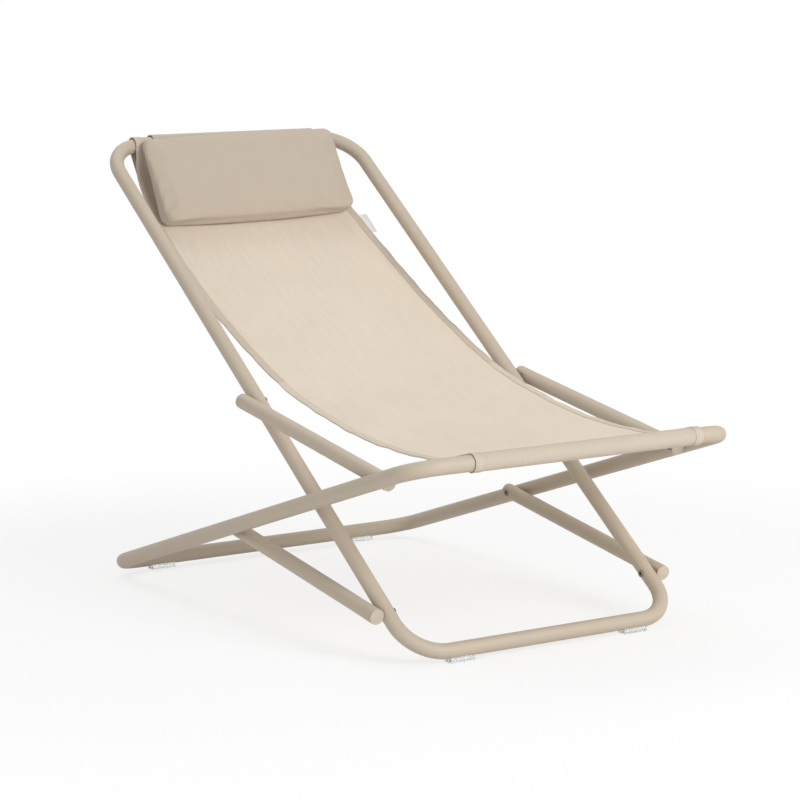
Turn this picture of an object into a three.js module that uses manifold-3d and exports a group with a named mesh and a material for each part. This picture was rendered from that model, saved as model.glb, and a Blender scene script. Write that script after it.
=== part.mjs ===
// A folding deck chair: two looped tube frames that cross like scissors, four straight struts joining them,
// a sling hung between the frames' far bars and a small pillow that hangs over the top bar.
// Millimetres, +Z up. The sitter faces -Y, and the origin is below the middle of the chair, on the floor.
import * as THREE from "three";
import { mergeVertices } from "three/addons/utils/BufferGeometryUtils.js";
import Module from "manifold-3d";

const wasm = await Module();
wasm.setup();

// Clearances and cutters
const touchGap = 0.3; // between pieces that touch
const turnGap = 0.3; // round a bolt or a stem, on the radius
const cutOverrun = 5; // how far a cutter runs past a face

// Tubes
const backTubeDiameter = 25;
const seatTubeDiameter = 26;
const strutTubeDiameter = 25;
const tubeWall = 1.6;
const tubeEndGap = 1; // where the two ends of a looped tube meet
const spigotLength = 90;

// Frames, on the tubes' centre lines; both have their two pivots at one spacing, and so have the struts
const backWidth = 514;
const framePivotSpacing = 474;
const strutPivotSpacing = 421;
const backFootLength = 92; // floor bar to lower pivot
const backTopLength = 653; // upper pivot to top bar
const seatFootLength = 405; // rear floor bar to lower pivot
const seatFrontLength = 117; // upper pivot to front bar
const backFloorBend = 67;
const backTopBend = 72;
const seatRearBend = 52;
const seatFrontBend = 50;

// Struts
const strutOverrun = 11.5; // pivot to the outside of the end cap
const pressedThickness = 21; // struts are pressed a little flat at each pivot
const pressedLength = 14.6;
const pressedFadeOut = 1.9; // toward the near end
const pressedFadeIn = 20; // toward the middle
const pressedBulgeShare = 0.2;

// Strut end caps
const capThickness = 2;
const capPlugLength = 4;
const capEdgeShare = 0.25; // of its thickness

// Pivot bolts, washers and threaded inserts
const washerThickness = 1.7; // keeps round tubes apart that lie side by side when folded
const washerDiameter = 14;
const boltDiameter = 6;
const boltHeadDiameter = 12;
const boltHeadHeight = 4;
const lowHeadHeight = 1.5; // on the struts, where the back frame passes close by
const boltGrip = 8; // length inside the insert
const socketAcrossFlats = 4;
const socketDepthShare = 0.6;
const headRimShare = 0.3; // of the head's height; above it the head is domed
const headTopShare = 0.62; // of its radius
const headShoulderShares = [0.9, 0.45]; // of its radius, and of the dome's height
const insertDiameter = 9;
const insertLength = 10;

// Clear glides under the two floor bars
const glideHeight = 6; // floor to the underside of the tube
const glideWrap = 3.2; // how far the saddle rises round the tube
const glideLength = 45;
const glideWidth = 18;
const glideStemDiameter = 5;
const glideStemRise = 8;
const backGlideInset = 87; // from the side tube's centre line
const seatGlideInset = 96;

// Sling: where it hangs is given along and below the straight line from the top bar to the front bar
const slingNearMargin = 4.5; // to the back frame's side tube on the sitter's left, where it sits closer
const slingFarMargin = 42.5;
const slingTaper = 38; // how much narrower the top sleeve is, all on that side
const slingTaperLength = 350;
const slingThickness = 1.2;
const topSleeveEase = 1.2; // the top sleeve is loose enough to reach round the start of the bends
const slingSteps = 36;
const slingLineShares = [
  [0.029, 0.035],
  [0.057, 0.056],
  [0.112, 0.086],
  [0.22, 0.114],
  [0.362, 0.133],
  [0.529, 0.139],
  [0.651, 0.124],
  [0.775, 0.096],
  [0.903, 0.049],
  [0.961, 0.014],
];
const bindingWidth = 15;
const bindingTape = 0.8;
const bindingSetback = 6; // from the seam of a sleeve
const sleeveRootShare = 0.2; // from a sleeve's open end to its seam, where the cloth is joined on
const tagLength = 46;
const tagWidth = 10;
const tagThickness = 0.8;
const tagPlaceShare = 0.105; // along the sling

// Headrest: pillow, hanging band and the weight sewn into the band's end
const pillowWidth = 400;
const pillowHeight = 162; // at its sides
const pillowThickness = 37;
const pillowTopThickness = 22;
const pillowRoll = 1.1; // degrees; it hangs lower on the sitter's right
const pillowInset = 6.5; // from the sling's edge on the sitter's right
const pillowRise = 3; // its sides' tops above where its back meets the band
const pillowCorner = 16;
const pillowWaist = 2; // how far its left and right sides are drawn in
const pillowBow = 5; // how far its head and foot swell
const pillowCrown = 6;
const pillowSeamRoll = 5;
const bandInset = 31; // from the pillow's sides
const bandThickness = 1.5;
const bandDropLength = 90; // top bar's centre to the weight's centre
const weightDiameter = 10;
const weightInset = 8; // from the band's side

// Facets
const tubeSides = 16;
const smallSides = 12;
const bendSteps = 6;
const wrapSteps = 14;

// Derived sizes
const backLength = backFootLength + framePivotSpacing + backTopLength;
const seatLength = seatFootLength + framePivotSpacing + seatFrontLength;
const backRadius = backTubeDiameter / 2;
const seatRadius = seatTubeDiameter / 2;
const strutRadius = strutTubeDiameter / 2;
const pressedHalf = pressedThickness / 2;
const pivotGap = washerThickness + 2 * touchGap;
const strutOffset = backWidth / 2 + backRadius + pivotGap + pressedHalf;
const seatWidth = 2 * (strutOffset + pressedHalf + pivotGap + seatRadius);
const boltHole = boltDiameter / 2 + turnGap;
const backGlideSpacing = backWidth - 2 * backGlideInset;
const seatGlideSpacing = seatWidth - 2 * seatGlideInset;
const insertRecess = seatRadius - Math.sqrt(seatRadius ** 2 - (insertDiameter / 2) ** 2) + touchGap;

// The frames' angles follow from the two spacings, which fix how the frames cross, and from the floor
const crossing = 2 * Math.acos(strutPivotSpacing / framePivotSpacing);
const backCrossing = backFootLength + framePivotSpacing / 2; // floor bar to where the frames cross
const seatCrossing = seatFootLength + framePivotSpacing / 2;
const floorStep = seatRadius - backRadius;
const crossingAlong = backCrossing + seatCrossing * Math.cos(crossing);
const crossingAcross = seatCrossing * Math.sin(crossing);
const backAngle =
  Math.atan2(crossingAcross, crossingAlong) + Math.asin(floorStep / Math.hypot(crossingAlong, crossingAcross));
const seatAngle = crossing - backAngle;
const strutAngle = (backAngle - seatAngle) / 2;

// Places in the side view, as [y, z], with y counted from the crossing
const backFloor = [-backCrossing * Math.cos(backAngle), glideHeight + backRadius];
const seatFloor = [seatCrossing * Math.cos(seatAngle), glideHeight + seatRadius];
const alongBack = (s) => [backFloor[0] + s * Math.cos(backAngle), backFloor[1] + s * Math.sin(backAngle)];
const alongSeat = (s) => [seatFloor[0] - s * Math.cos(seatAngle), seatFloor[1] + s * Math.sin(seatAngle)];
const backLower = backFootLength;
const backUpper = backFootLength + framePivotSpacing;
const seatLower = seatFootLength;
const seatUpper = seatFootLength + framePivotSpacing;
const topBar = alongBack(backLength);
const frontBar = alongSeat(seatLength);

const colours = { tube: 0xa8967e, cap: 0xcab89f, sling: 0xd8c8b4, hem: 0xa39580, pillow: 0xbcae9a };
const material = (color, roughness, metalness = 0) => new THREE.MeshStandardMaterial({ color, roughness, metalness });
const paint = () => material(colours.tube, 0.45, 0.1);
const capPlastic = () => material(colours.cap, 0.5);
const steel = () => material(0x3a3835, 0.4, 0.9);
const brightSteel = () => material(0xb4b4b0, 0.35, 0.9);
const nylon = () => material(0x8b8377, 0.6);
const clearPlastic = () => material(0xe8ecec, 0.2);
const slingCloth = () => material(colours.sling, 0.85);
const hemCloth = () => material(colours.hem, 0.9);
const pillowCloth = () => material(colours.pillow, 0.9);
const whiteTape = () => material(0xf2f0ec, 0.8);

const chair = new THREE.Group();

function place(parent, name, geometry, look, position = [0, 0, 0], turn = [0, 0, 0]) {
  const mesh = new THREE.Mesh(geometry, look);
  mesh.name = name;
  mesh.position.set(...position);
  mesh.rotation.set(...turn);
  parent.add(mesh);
  return mesh;
}

// Solids: geometry to manifold and back, for cuts and joins
function closed(geometry) {
  const bare = geometry.clone();
  bare.deleteAttribute("normal");
  bare.deleteAttribute("uv");
  return mergeVertices(bare, 1e-5);
}

function solid(geometry) {
  const merged = closed(geometry);
  return new wasm.Manifold(
    new wasm.Mesh({
      numProp: 3,
      vertProperties: new Float32Array(merged.attributes.position.array),
      triVerts: new Uint32Array(merged.index.array),
    }),
  );
}

function shell(manifold) {
  const { vertProperties, triVerts } = manifold.getMesh();
  const geometry = new THREE.BufferGeometry();
  geometry.setAttribute("position", new THREE.BufferAttribute(new Float32Array(vertProperties), 3));
  geometry.setIndex(new THREE.BufferAttribute(new Uint32Array(triVerts), 1));
  geometry.computeVertexNormals();
  return geometry;
}

function cut(geometry, cutters) {
  return shell(cutters.reduce((body, cutter) => body.subtract(solid(cutter)), solid(geometry)));
}

function join(...geometries) {
  return shell(geometries.map(solid).reduce((body, piece) => body.add(piece)));
}

// A rod along X from x0 to x1
function rod(radius, x0, x1, sides = smallSides) {
  return new THREE.CylinderGeometry(radius, radius, x1 - x0, sides)
    .rotateZ(-Math.PI / 2)
    .translate((x0 + x1) / 2, 0, 0);
}

// Tubes: a ring swept along stations, each a point and a direction
class Route extends THREE.Curve {
  constructor(stations) {
    super();
    this.stations = stations;
  }
  station(u) {
    return this.stations[Math.round(u * (this.stations.length - 1))];
  }
  getPointAt(u, target = new THREE.Vector3()) {
    return target.copy(this.station(u).point);
  }
  getTangentAt(u, target = new THREE.Vector3()) {
    return target.copy(this.station(u).along);
  }
}

function ring(outer, inner) {
  const shape = new THREE.Shape().absarc(0, 0, outer, 0, 2 * Math.PI);
  shape.holes.push(new THREE.Path().absarc(0, 0, inner, 0, 2 * Math.PI));
  return shape;
}

function tube(radius, wall, stations) {
  return new THREE.ExtrudeGeometry(ring(radius, radius - wall), {
    curveSegments: tubeSides / 2,
    steps: stations.length - 1,
    extrudePath: new Route(stations),
  });
}

function straight(y0, y1, breaks = []) {
  const along = new THREE.Vector3(0, 1, 0);
  const places = [y0, ...breaks.filter((y) => y > y0 && y < y1).sort((a, b) => a - b), y1];
  return places.map((y) => ({ point: new THREE.Vector3(0, y, 0), along }));
}

// A rounded loop in the XY plane, its near bar on y = 0, that starts and ends at the middle of the far bar
function loop(width, length, nearBend, farBend) {
  const stations = [];
  const corner = (x, y, bend, from) => {
    for (let i = 0; i <= bendSteps; i += 1) {
      const turn = from - ((Math.PI / 2) * i) / bendSteps;
      stations.push({
        point: new THREE.Vector3(x + bend * Math.cos(turn), y + bend * Math.sin(turn), 0),
        along: new THREE.Vector3(Math.sin(turn), -Math.cos(turn), 0),
      });
    }
  };
  const half = width / 2;
  const end = { along: new THREE.Vector3(1, 0, 0) };
  stations.push({ ...end, point: new THREE.Vector3(tubeEndGap / 2, length, 0) });
  corner(half - farBend, length - farBend, farBend, Math.PI / 2);
  corner(half - nearBend, nearBend, nearBend, 0);
  corner(nearBend - half, nearBend, nearBend, -Math.PI / 2);
  corner(farBend - half, length - farBend, farBend, -Math.PI);
  stations.push({ ...end, point: new THREE.Vector3(-tubeEndGap / 2, length, 0) });
  return stations;
}

// Holes through a frame's floor bar for the glides' stems; the frame is turned about X by this angle
function stemHoles(radius, spacing, angle) {
  return [-1, 1].map((side) =>
    new THREE.CylinderGeometry(glideStemDiameter / 2 + turnGap, glideStemDiameter / 2 + turnGap, radius, smallSides)
      .rotateX(Math.PI / 2)
      .translate((side * spacing) / 2, 0, -radius)
      .rotateX(-angle),
  );
}

// Back frame: bolts pass right through its side tubes
function backFrame() {
  const reach = backRadius + cutOverrun;
  const bolts = [-1, 1].flatMap((side) =>
    [backLower, backUpper].map((y) => rod(boltHole, -reach, reach).translate((side * backWidth) / 2, y, 0)),
  );
  return cut(tube(backRadius, tubeWall, loop(backWidth, backLength, backFloorBend, backTopBend)), [
    ...bolts,
    ...stemHoles(backRadius, backGlideSpacing, backAngle),
  ]);
}

// Seat frame: its inner walls hold the threaded inserts
function seatFrame() {
  const inserts = [-1, 1].flatMap((side) =>
    [seatLower, seatUpper].map((y) =>
      rod(insertDiameter / 2 + turnGap, -seatRadius - cutOverrun, 0)
        .scale(side, side, 1)
        .translate((side * seatWidth) / 2, y, 0),
    ),
  );
  return cut(tube(seatRadius, tubeWall, loop(seatWidth, seatLength, seatRearBend, seatFrontBend)), [
    ...inserts,
    ...stemHoles(seatRadius, seatGlideSpacing, Math.PI - seatAngle),
  ]);
}

function spigot(radius) {
  const outer = radius - tubeWall - touchGap;
  return new THREE.ExtrudeGeometry(ring(outer, outer - tubeWall), {
    depth: spigotLength,
    curveSegments: tubeSides / 2,
    bevelEnabled: false,
  })
    .translate(0, 0, -spigotLength / 2)
    .rotateY(Math.PI / 2);
}

// Struts lie along Y from one pivot at 0 to the other at strutPivotSpacing, pressed thinner across X
const strutStart = -(strutOverrun - capThickness - touchGap);
const strutEnd = strutPivotSpacing - strutStart;
const flatFrom = pressedLength / 2;

function pressedHalfAt(y) {
  const near = Math.min(Math.abs(y), Math.abs(y - strutPivotSpacing));
  const fade = y < 0 || y > strutPivotSpacing ? pressedFadeOut : pressedFadeIn;
  const round = THREE.MathUtils.smoothstep(near, flatFrom, flatFrom + fade);
  return THREE.MathUtils.lerp(pressedHalf, strutRadius, round);
}

function pressFlat(geometry) {
  const spots = geometry.attributes.position;
  const middle = strutRadius - tubeWall / 2;
  for (let i = 0; i < spots.count; i += 1) {
    const [x, y, z] = [spots.getX(i), spots.getY(i), spots.getZ(i)];
    const half = pressedHalfAt(y);
    const limit = Math.hypot(x, z) > middle ? half : half - tubeWall;
    const bulge = 1 + pressedBulgeShare * (1 - half / strutRadius);
    spots.setXYZ(i, THREE.MathUtils.clamp(x, -limit, limit), y, z * bulge);
  }
  return geometry;
}

// The bolt end has a hole through both walls, the insert end one in the wall toward the back frame
function strut(side, boltEnd, insertEnd) {
  const breaks = [0, strutPivotSpacing].flatMap((pivot) => {
    const inward = pivot === 0 ? 1 : -1;
    return [
      pivot - inward * (flatFrom + pressedFadeOut / 2),
      pivot - inward * flatFrom,
      pivot + inward * flatFrom,
      pivot + inward * (flatFrom + pressedFadeIn / 2),
      pivot + inward * (flatFrom + pressedFadeIn),
    ];
  });
  const body = pressFlat(tube(strutRadius, tubeWall, straight(strutStart, strutEnd, breaks)));
  const reach = strutRadius + cutOverrun;
  const insertHole = rod(insertDiameter / 2 + turnGap, -reach, 0).scale(side, side, 1);
  return cut(body, [rod(boltHole, -reach, reach).translate(0, boltEnd, 0), insertHole.translate(0, insertEnd, 0)]);
}

// Flat round cap, its outside at y = 0; its plug, toward +Y, is narrow enough for the pressed walls
function endCap() {
  const plug = pressedHalf - tubeWall - touchGap;
  const edge = capThickness * capEdgeShare;
  const outline = [
    [0, 0],
    [strutRadius - edge, 0],
    [strutRadius, edge],
    [strutRadius, capThickness],
    [plug, capThickness],
    [plug, capThickness + capPlugLength],
    [0, capThickness + capPlugLength],
  ];
  return closed(new THREE.LatheGeometry(outline.map(([r, y]) => new THREE.Vector2(r, y)), tubeSides));
}

// Round-headed socket bolt along +X, its head's flat side at x = 0
function bolt(length, headHeight) {
  const headRadius = boltHeadDiameter / 2;
  const rim = headHeight * headRimShare;
  const crown = headHeight - rim;
  const outline = [
    [0, -headHeight],
    [headRadius * headTopShare, -headHeight],
    [headRadius * headShoulderShares[0], -rim - crown * headShoulderShares[1]],
    [headRadius, -rim],
    [headRadius, 0],
    [boltDiameter / 2, 0],
    [boltDiameter / 2, length],
    [0, length],
  ];
  const body = new THREE.LatheGeometry(outline.map(([r, y]) => new THREE.Vector2(r, y)), smallSides);
  const socketRadius = socketAcrossFlats / Math.sqrt(3);
  const floor = (socketDepthShare - 1) * headHeight;
  const socketHeight = headHeight + cutOverrun;
  const socket = new THREE.CylinderGeometry(socketRadius, socketRadius, socketHeight, 6);
  return cut(body, [socket.translate(0, floor - socketHeight / 2, 0)]).rotateZ(-Math.PI / 2);
}

function sleeveAlongX(outer, inner, length) {
  return new THREE.ExtrudeGeometry(ring(outer, inner), {
    depth: length,
    curveSegments: smallSides / 2,
    bevelEnabled: false,
  }).rotateY(Math.PI / 2);
}

// One pivot: bolt and washer on the inner tube, insert in the outer; an open pivot's bolt ends at the washer
function addPivot(name, [y, z], side, innerCentre, innerHalf, headHeight, entered) {
  const hub = new THREE.Group();
  hub.position.set(0, y, z);
  hub.rotation.z = side > 0 ? 0 : Math.PI;
  chair.add(hub);
  const headSeat = innerCentre - innerHalf - touchGap;
  const washerStart = innerCentre + innerHalf + touchGap;
  const outerFace = washerStart + washerThickness + touchGap;
  const insertStart = outerFace + insertRecess;
  const tip = entered ? insertStart + boltGrip : washerStart + washerThickness;
  const washer = sleeveAlongX(washerDiameter / 2, boltHole, washerThickness);
  const insert = sleeveAlongX(insertDiameter / 2, boltHole, insertLength);
  place(hub, `bolt_${name}`, bolt(tip - headSeat, headHeight), steel(), [headSeat, 0, 0]);
  place(hub, `washer_${name}`, washer, nylon(), [washerStart, 0, 0]);
  place(hub, `insert_${name}`, insert, brightSteel(), [insertStart, 0, 0]);
}

// Glide: a saddle on the floor with a stem into the tube
function glide(tubeRadius) {
  const top = glideHeight + glideWrap;
  const block = new THREE.BoxGeometry(glideLength, glideWidth, top).translate(0, 0, top / 2);
  const reach = glideLength / 2 + cutOverrun;
  const hollow = rod(tubeRadius + touchGap, -reach, reach, 4 * tubeSides);
  const saddle = cut(block, [hollow.translate(0, 0, glideHeight + tubeRadius)]);
  const stemTop = glideHeight + glideStemRise;
  const stemFoot = glideHeight / 2;
  const stemRadius = glideStemDiameter / 2;
  const stem = new THREE.CylinderGeometry(stemRadius, stemRadius, stemTop - stemFoot, smallSides)
    .rotateX(Math.PI / 2)
    .translate(0, 0, (stemTop + stemFoot) / 2);
  return join(saddle, stem);
}

// Strips of cloth: a line in the side view, given a thickness and run from x0 to x1
const sideView = new THREE.Matrix4().makeBasis(
  new THREE.Vector3(0, 1, 0),
  new THREE.Vector3(0, 0, 1),
  new THREE.Vector3(1, 0, 0),
);

function offsetLine(line, distance) {
  return line.map((spot, i) => {
    const before = line[Math.max(i - 1, 0)];
    const after = line[Math.min(i + 1, line.length - 1)];
    const along = after.clone().sub(before).normalize();
    return new THREE.Vector2(spot.x - along.y * distance, spot.y + along.x * distance);
  });
}

function run(shape, x0, x1) {
  return new THREE.ExtrudeGeometry(shape, { depth: x1 - x0, bevelEnabled: false })
    .applyMatrix4(sideView)
    .translate(x0, 0, 0);
}

function strip(line, thickness, x0, x1) {
  const outline = [...offsetLine(line, thickness / 2), ...offsetLine(line, -thickness / 2).reverse()];
  return run(new THREE.Shape(outline), x0, x1);
}

function lineLength(line) {
  return line.slice(1).reduce((sum, spot, i) => sum + spot.distanceTo(line[i]), 0);
}

// The stretch of a line between two distances along it
function stretch(line, from, to) {
  const spots = [];
  let walked = 0;
  for (let i = 0; i < line.length - 1; i += 1) {
    const step = line[i].distanceTo(line[i + 1]);
    const at = (distance) => line[i].clone().lerp(line[i + 1], (distance - walked) / step);
    if (from >= walked && from < walked + step) spots.push(at(from));
    if (walked > from && walked < to) spots.push(line[i].clone());
    if (to > walked && to <= walked + step) spots.push(at(to));
    walked += step;
  }
  return spots;
}

// A sleeve's loop round a bar: from the seam on one tangent, round the bar and back on the other
function loopRound(centre, radius, seam) {
  const toSeam = seam.clone().sub(centre);
  const open = Math.acos(radius / toSeam.length());
  const first = toSeam.angle() + open;
  const swing = 2 * Math.PI - 2 * open;
  const spots = [seam.clone()];
  for (let i = 0; i <= wrapSteps; i += 1) {
    const turn = first + (swing * i) / wrapSteps;
    spots.push(new THREE.Vector2(Math.cos(turn), Math.sin(turn)).multiplyScalar(radius).add(centre));
  }
  return spots;
}

// The hollow ends a little short of the seam, so that both layers are one cloth thick
function sleeveEnd({ centre, inner, seam }) {
  return centre.clone().lerp(seam, inner / (inner + slingThickness));
}

function sleeve(pocket, x0, x1) {
  const { centre, inner, seam } = pocket;
  const shape = new THREE.Shape(loopRound(centre, inner + slingThickness, seam));
  shape.holes.push(new THREE.Path(loopRound(centre, inner, sleeveEnd(pocket))));
  return run(shape, x0, x1);
}

const top = new THREE.Vector2(...topBar);
const front = new THREE.Vector2(...frontBar);
const span = front.clone().sub(top);
const below = new THREE.Vector2(-span.y, span.x);
const slingLine = new THREE.SplineCurve(
  slingLineShares.map(([along, depth]) =>
    top.clone().addScaledVector(span, along).addScaledVector(below, depth),
  ),
).getPoints(slingSteps);
const slingLength = lineLength(slingLine);
const backClearHalf = backWidth / 2 - backRadius;
const slingLeft = slingFarMargin - backClearHalf;
const slingRight = backClearHalf - slingNearMargin;
const slingMiddle = (slingLeft + slingRight) / 2;
const upperPivotY = alongBack(backUpper)[0];
const slingSplit = lineLength(slingLine.filter((spot) => spot.x >= upperPivotY));

// Toward the top sleeve the sling's edge on the sitter's left draws in; only what lies past fromX moves
function drawIn(geometry, fromX) {
  const spots = geometry.attributes.position;
  const start = slingLine[0].x - slingTaperLength * Math.cos(backAngle);
  for (let i = 0; i < spots.count; i += 1) {
    const share = THREE.MathUtils.clamp((spots.getY(i) - start) / (slingLine[0].x - start), 0, 1);
    if (spots.getX(i) > fromX) spots.setX(i, spots.getX(i) - slingTaper * share ** 3);
  }
  return geometry;
}

function slingPanel(from, to, pocket) {
  const inset = bindingTape + touchGap;
  const [x0, x1] = [slingLeft + inset, slingRight - inset];
  const root = sleeveEnd(pocket).lerp(pocket.seam, sleeveRootShare);
  const panel = stretch(slingLine, from, to);
  const sewn = from === 0 ? [root, ...panel] : [...panel, root];
  return drawIn(join(strip(sewn, slingThickness, x0, x1), sleeve(pocket, x0, x1)), slingMiddle);
}

// Binding: a folded tape round the sling's edge
function binding(side, from, to) {
  const line = stretch(slingLine, from, to);
  const slot = slingThickness + 2 * touchGap;
  const edge = side > 0 ? slingRight : slingLeft;
  const ordered = (a, b) => [Math.min(a, b), Math.max(a, b)];
  const tape = strip(line, slot + 2 * bindingTape, ...ordered(edge, edge - side * bindingWidth));
  const longer = stretch(slingLine, Math.max(from - bindingSetback / 2, 0), to + bindingSetback / 2);
  const inside = ordered(edge - side * bindingTape, edge - side * (bindingWidth + cutOverrun));
  return drawIn(cut(tape, [strip(longer, slot, ...inside)]), slingMiddle);
}

// Pillow: rings from the middle of its back round the sides to the middle of its front.
// Its local X runs across, Y up and Z out of its front; its back lies on z = 0.
const pillowPerSide = 7;
const pillowRings = 4;

function pillowOutline(shrink) {
  const spots = [];
  const [halfWidth, halfHeight] = [pillowWidth / 2, pillowHeight / 2];
  const corners = [
    [1, 1],
    [-1, 1],
    [-1, -1],
    [1, -1],
  ];
  corners.forEach(([cx, cy], k) => {
    for (let i = 0; i < pillowPerSide; i += 1) {
      const turn = (Math.PI / 2) * (k + i / (pillowPerSide - 1));
      const x = cx * (halfWidth - pillowCorner) + pillowCorner * Math.cos(turn);
      const y = cy * (halfHeight - pillowCorner) + pillowCorner * Math.sin(turn);
      spots.push([x, y]);
    }
    const [nx, ny] = corners[(k + 1) % corners.length];
    const across = ny === cy;
    const [reachX, reachY] = [halfWidth - pillowCorner, halfHeight - pillowCorner];
    for (let i = 1; i < pillowPerSide; i += 1) {
      const share = i / pillowPerSide;
      const bend = 4 * share * (1 - share);
      const x = across ? THREE.MathUtils.lerp(cx, nx, share) * reachX : cx * (halfWidth - pillowWaist * bend);
      const y = across ? cy * (halfHeight + pillowBow * bend) : THREE.MathUtils.lerp(cy, ny, share) * reachY;
      spots.push([x, y]);
    }
  });
  return spots.map(([x, y]) => [x * shrink, y * shrink]);
}

function pillow() {
  const flat = 1 - pillowSeamRoll / (pillowHeight / 2);
  const faces = [];
  for (let i = 0; i < pillowRings; i += 1) {
    const shrink = (flat * (i + 1)) / pillowRings;
    faces.push([shrink, 1 - (shrink / flat) ** 2]);
  }
  const crownShare = pillowCrown / pillowThickness;
  const levels = [
    [flat, 0],
    [1, crownShare],
    [1 - pillowWaist / pillowWidth, 1 / 2],
    [1, 1 - 2 * crownShare],
    ...faces.reverse().map(([shrink, rise]) => [shrink, 1 - crownShare * (1 - rise)]),
  ];
  const spots = [];
  const triangles = [];
  const thicknessAt = (y) => THREE.MathUtils.lerp(pillowThickness, pillowTopThickness, y / pillowHeight + 1 / 2);
  levels.forEach(([shrink, depth]) =>
    pillowOutline(shrink).forEach(([x, y]) => spots.push(x, y, depth * thicknessAt(y))),
  );
  const count = pillowOutline(1).length;
  levels.slice(1).forEach((_, level) => {
    for (let i = 0; i < count; i += 1) {
      const [a, b] = [level * count + i, level * count + ((i + 1) % count)];
      triangles.push(a, b, b + count, a, b + count, a + count);
    }
  });
  const back = spots.push(0, 0, 0) / 3 - 1;
  const face = spots.push(0, 0, thicknessAt(0)) / 3 - 1;
  const last = (levels.length - 1) * count;
  for (let i = 0; i < count; i += 1) {
    const next = (i + 1) % count;
    triangles.push(back, next, i, face, last + i, last + next);
  }
  const geometry = new THREE.BufferGeometry();
  geometry.setAttribute("position", new THREE.Float32BufferAttribute(spots, 3));
  geometry.setIndex(triangles);
  geometry.computeVertexNormals();
  return geometry;
}

// The band lies over the sleeve. The pillow's back touches the band, and its foot rests on the sling.
const pillowMiddle = slingLeft + pillowInset + pillowWidth / 2;
const rollAngle = THREE.MathUtils.degToRad(pillowRoll);
const bandWidth = pillowWidth - 2 * bandInset;
const bandRadius = backRadius + 2 * topSleeveEase + slingThickness + 2 * touchGap + bandThickness / 2;
const pillowReach = bandRadius + bandThickness / 2 + touchGap;
const pillowContact = (lean) =>
  top.clone().add(new THREE.Vector2(-Math.sin(lean), Math.cos(lean)).multiplyScalar(pillowReach));

const slingSpots = slingLine
  .slice(1)
  .flatMap((spot, i) => [1, 2, 3, 4, 5].map((fifths) => slingLine[i].clone().lerp(spot, fifths / 5)));

function pillowLean() {
  const rest = slingThickness / 2 + touchGap;
  const reach = pillowHeight - pillowRise + pillowBow + (pillowWidth / 2) * Math.sin(rollAngle);
  let [low, high] = [0, Math.PI / 2];
  for (let i = 0; i < 40; i += 1) {
    const lean = (low + high) / 2;
    const down = new THREE.Vector2(-Math.cos(lean), -Math.sin(lean));
    const clear = slingSpots.every((spot) => {
      const away = spot.clone().sub(pillowContact(lean));
      const below = away.dot(down);
      return below < 0 || below > reach || down.cross(away) >= rest;
    });
    if (clear) low = lean;
    else high = lean;
  }
  return low;
}

function band() {
  const spots = [];
  for (let i = 0; i <= wrapSteps; i += 1) {
    const turn = Math.PI * (1 - i / wrapSteps);
    spots.push(new THREE.Vector2(Math.cos(turn), Math.sin(turn)).multiplyScalar(bandRadius).add(top));
  }
  spots.push(new THREE.Vector2(top.x + bandRadius, top.y - bandDropLength));
  const [x0, x1] = [pillowMiddle - bandWidth / 2, pillowMiddle + bandWidth / 2];
  const pocket = weightDiameter / 2 + touchGap;
  const hem = sleeveAlongX(pocket + bandThickness, pocket, bandWidth).translate(x0, weightAt.x, weightAt.y);
  return join(strip(spots, bandThickness, x0, x1), hem);
}

const weightAt = new THREE.Vector2(
  top.x + bandRadius + bandThickness / 2 + touchGap + weightDiameter / 2,
  top.y - bandDropLength,
);

// The assembly: the three sloping members lie flat in groups of their own
const backGroup = new THREE.Group();
backGroup.position.set(0, ...backFloor);
backGroup.rotation.x = backAngle;
const seatGroup = new THREE.Group();
seatGroup.position.set(0, ...seatFloor);
seatGroup.rotation.x = Math.PI - seatAngle;
chair.add(backGroup, seatGroup);

place(backGroup, "back_frame", backFrame(), paint());
place(backGroup, "back_spigot", spigot(backRadius), brightSteel(), [0, backLength, 0]);
place(seatGroup, "seat_frame", seatFrame(), paint());
place(seatGroup, "seat_spigot", spigot(seatRadius), brightSteel(), [0, seatLength, 0]);

// Left and right as seen from the front
const sides = { left: -1, right: 1 };
for (const [hand, side] of Object.entries(sides)) {
  const struts = { upper: alongBack(backUpper), lower: alongSeat(seatLower) };
  for (const [level, rear] of Object.entries(struts)) {
    const lies = new THREE.Group();
    lies.position.set(side * strutOffset, ...rear);
    lies.rotation.x = Math.PI + strutAngle;
    chair.add(lies);
    const [boltEnd, insertEnd] = level === "upper" ? [strutPivotSpacing, 0] : [0, strutPivotSpacing];
    place(lies, `${level}_strut_${hand}`, strut(side, boltEnd, insertEnd), paint());
    place(lies, `${level}_strut_${hand}_rear_cap`, endCap(), capPlastic(), [0, -strutOverrun, 0]);
    const frontCap = [0, strutPivotSpacing + strutOverrun, 0];
    place(lies, `${level}_strut_${hand}_front_cap`, endCap(), capPlastic(), frontCap, [Math.PI, 0, 0]);
  }
  const throughBack = [side, backWidth / 2, backRadius, boltHeadHeight];
  const throughStrut = [side, strutOffset, pressedHalf, lowHeadHeight];
  addPivot(`back_upper_${hand}`, alongBack(backUpper), ...throughBack, true);
  addPivot(`back_lower_${hand}`, alongBack(backLower), ...throughBack, true);
  addPivot(`seat_upper_${hand}`, alongSeat(seatUpper), ...throughStrut, true);
  addPivot(`seat_lower_${hand}`, alongSeat(seatLower), ...throughStrut, false);
  const backGlideAt = [(side * backGlideSpacing) / 2, backFloor[0], 0];
  const seatGlideAt = [(side * seatGlideSpacing) / 2, seatFloor[0], 0];
  place(chair, `back_glide_${hand}`, glide(backRadius), clearPlastic(), backGlideAt);
  place(chair, `seat_glide_${hand}`, glide(seatRadius), clearPlastic(), seatGlideAt);
}

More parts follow.
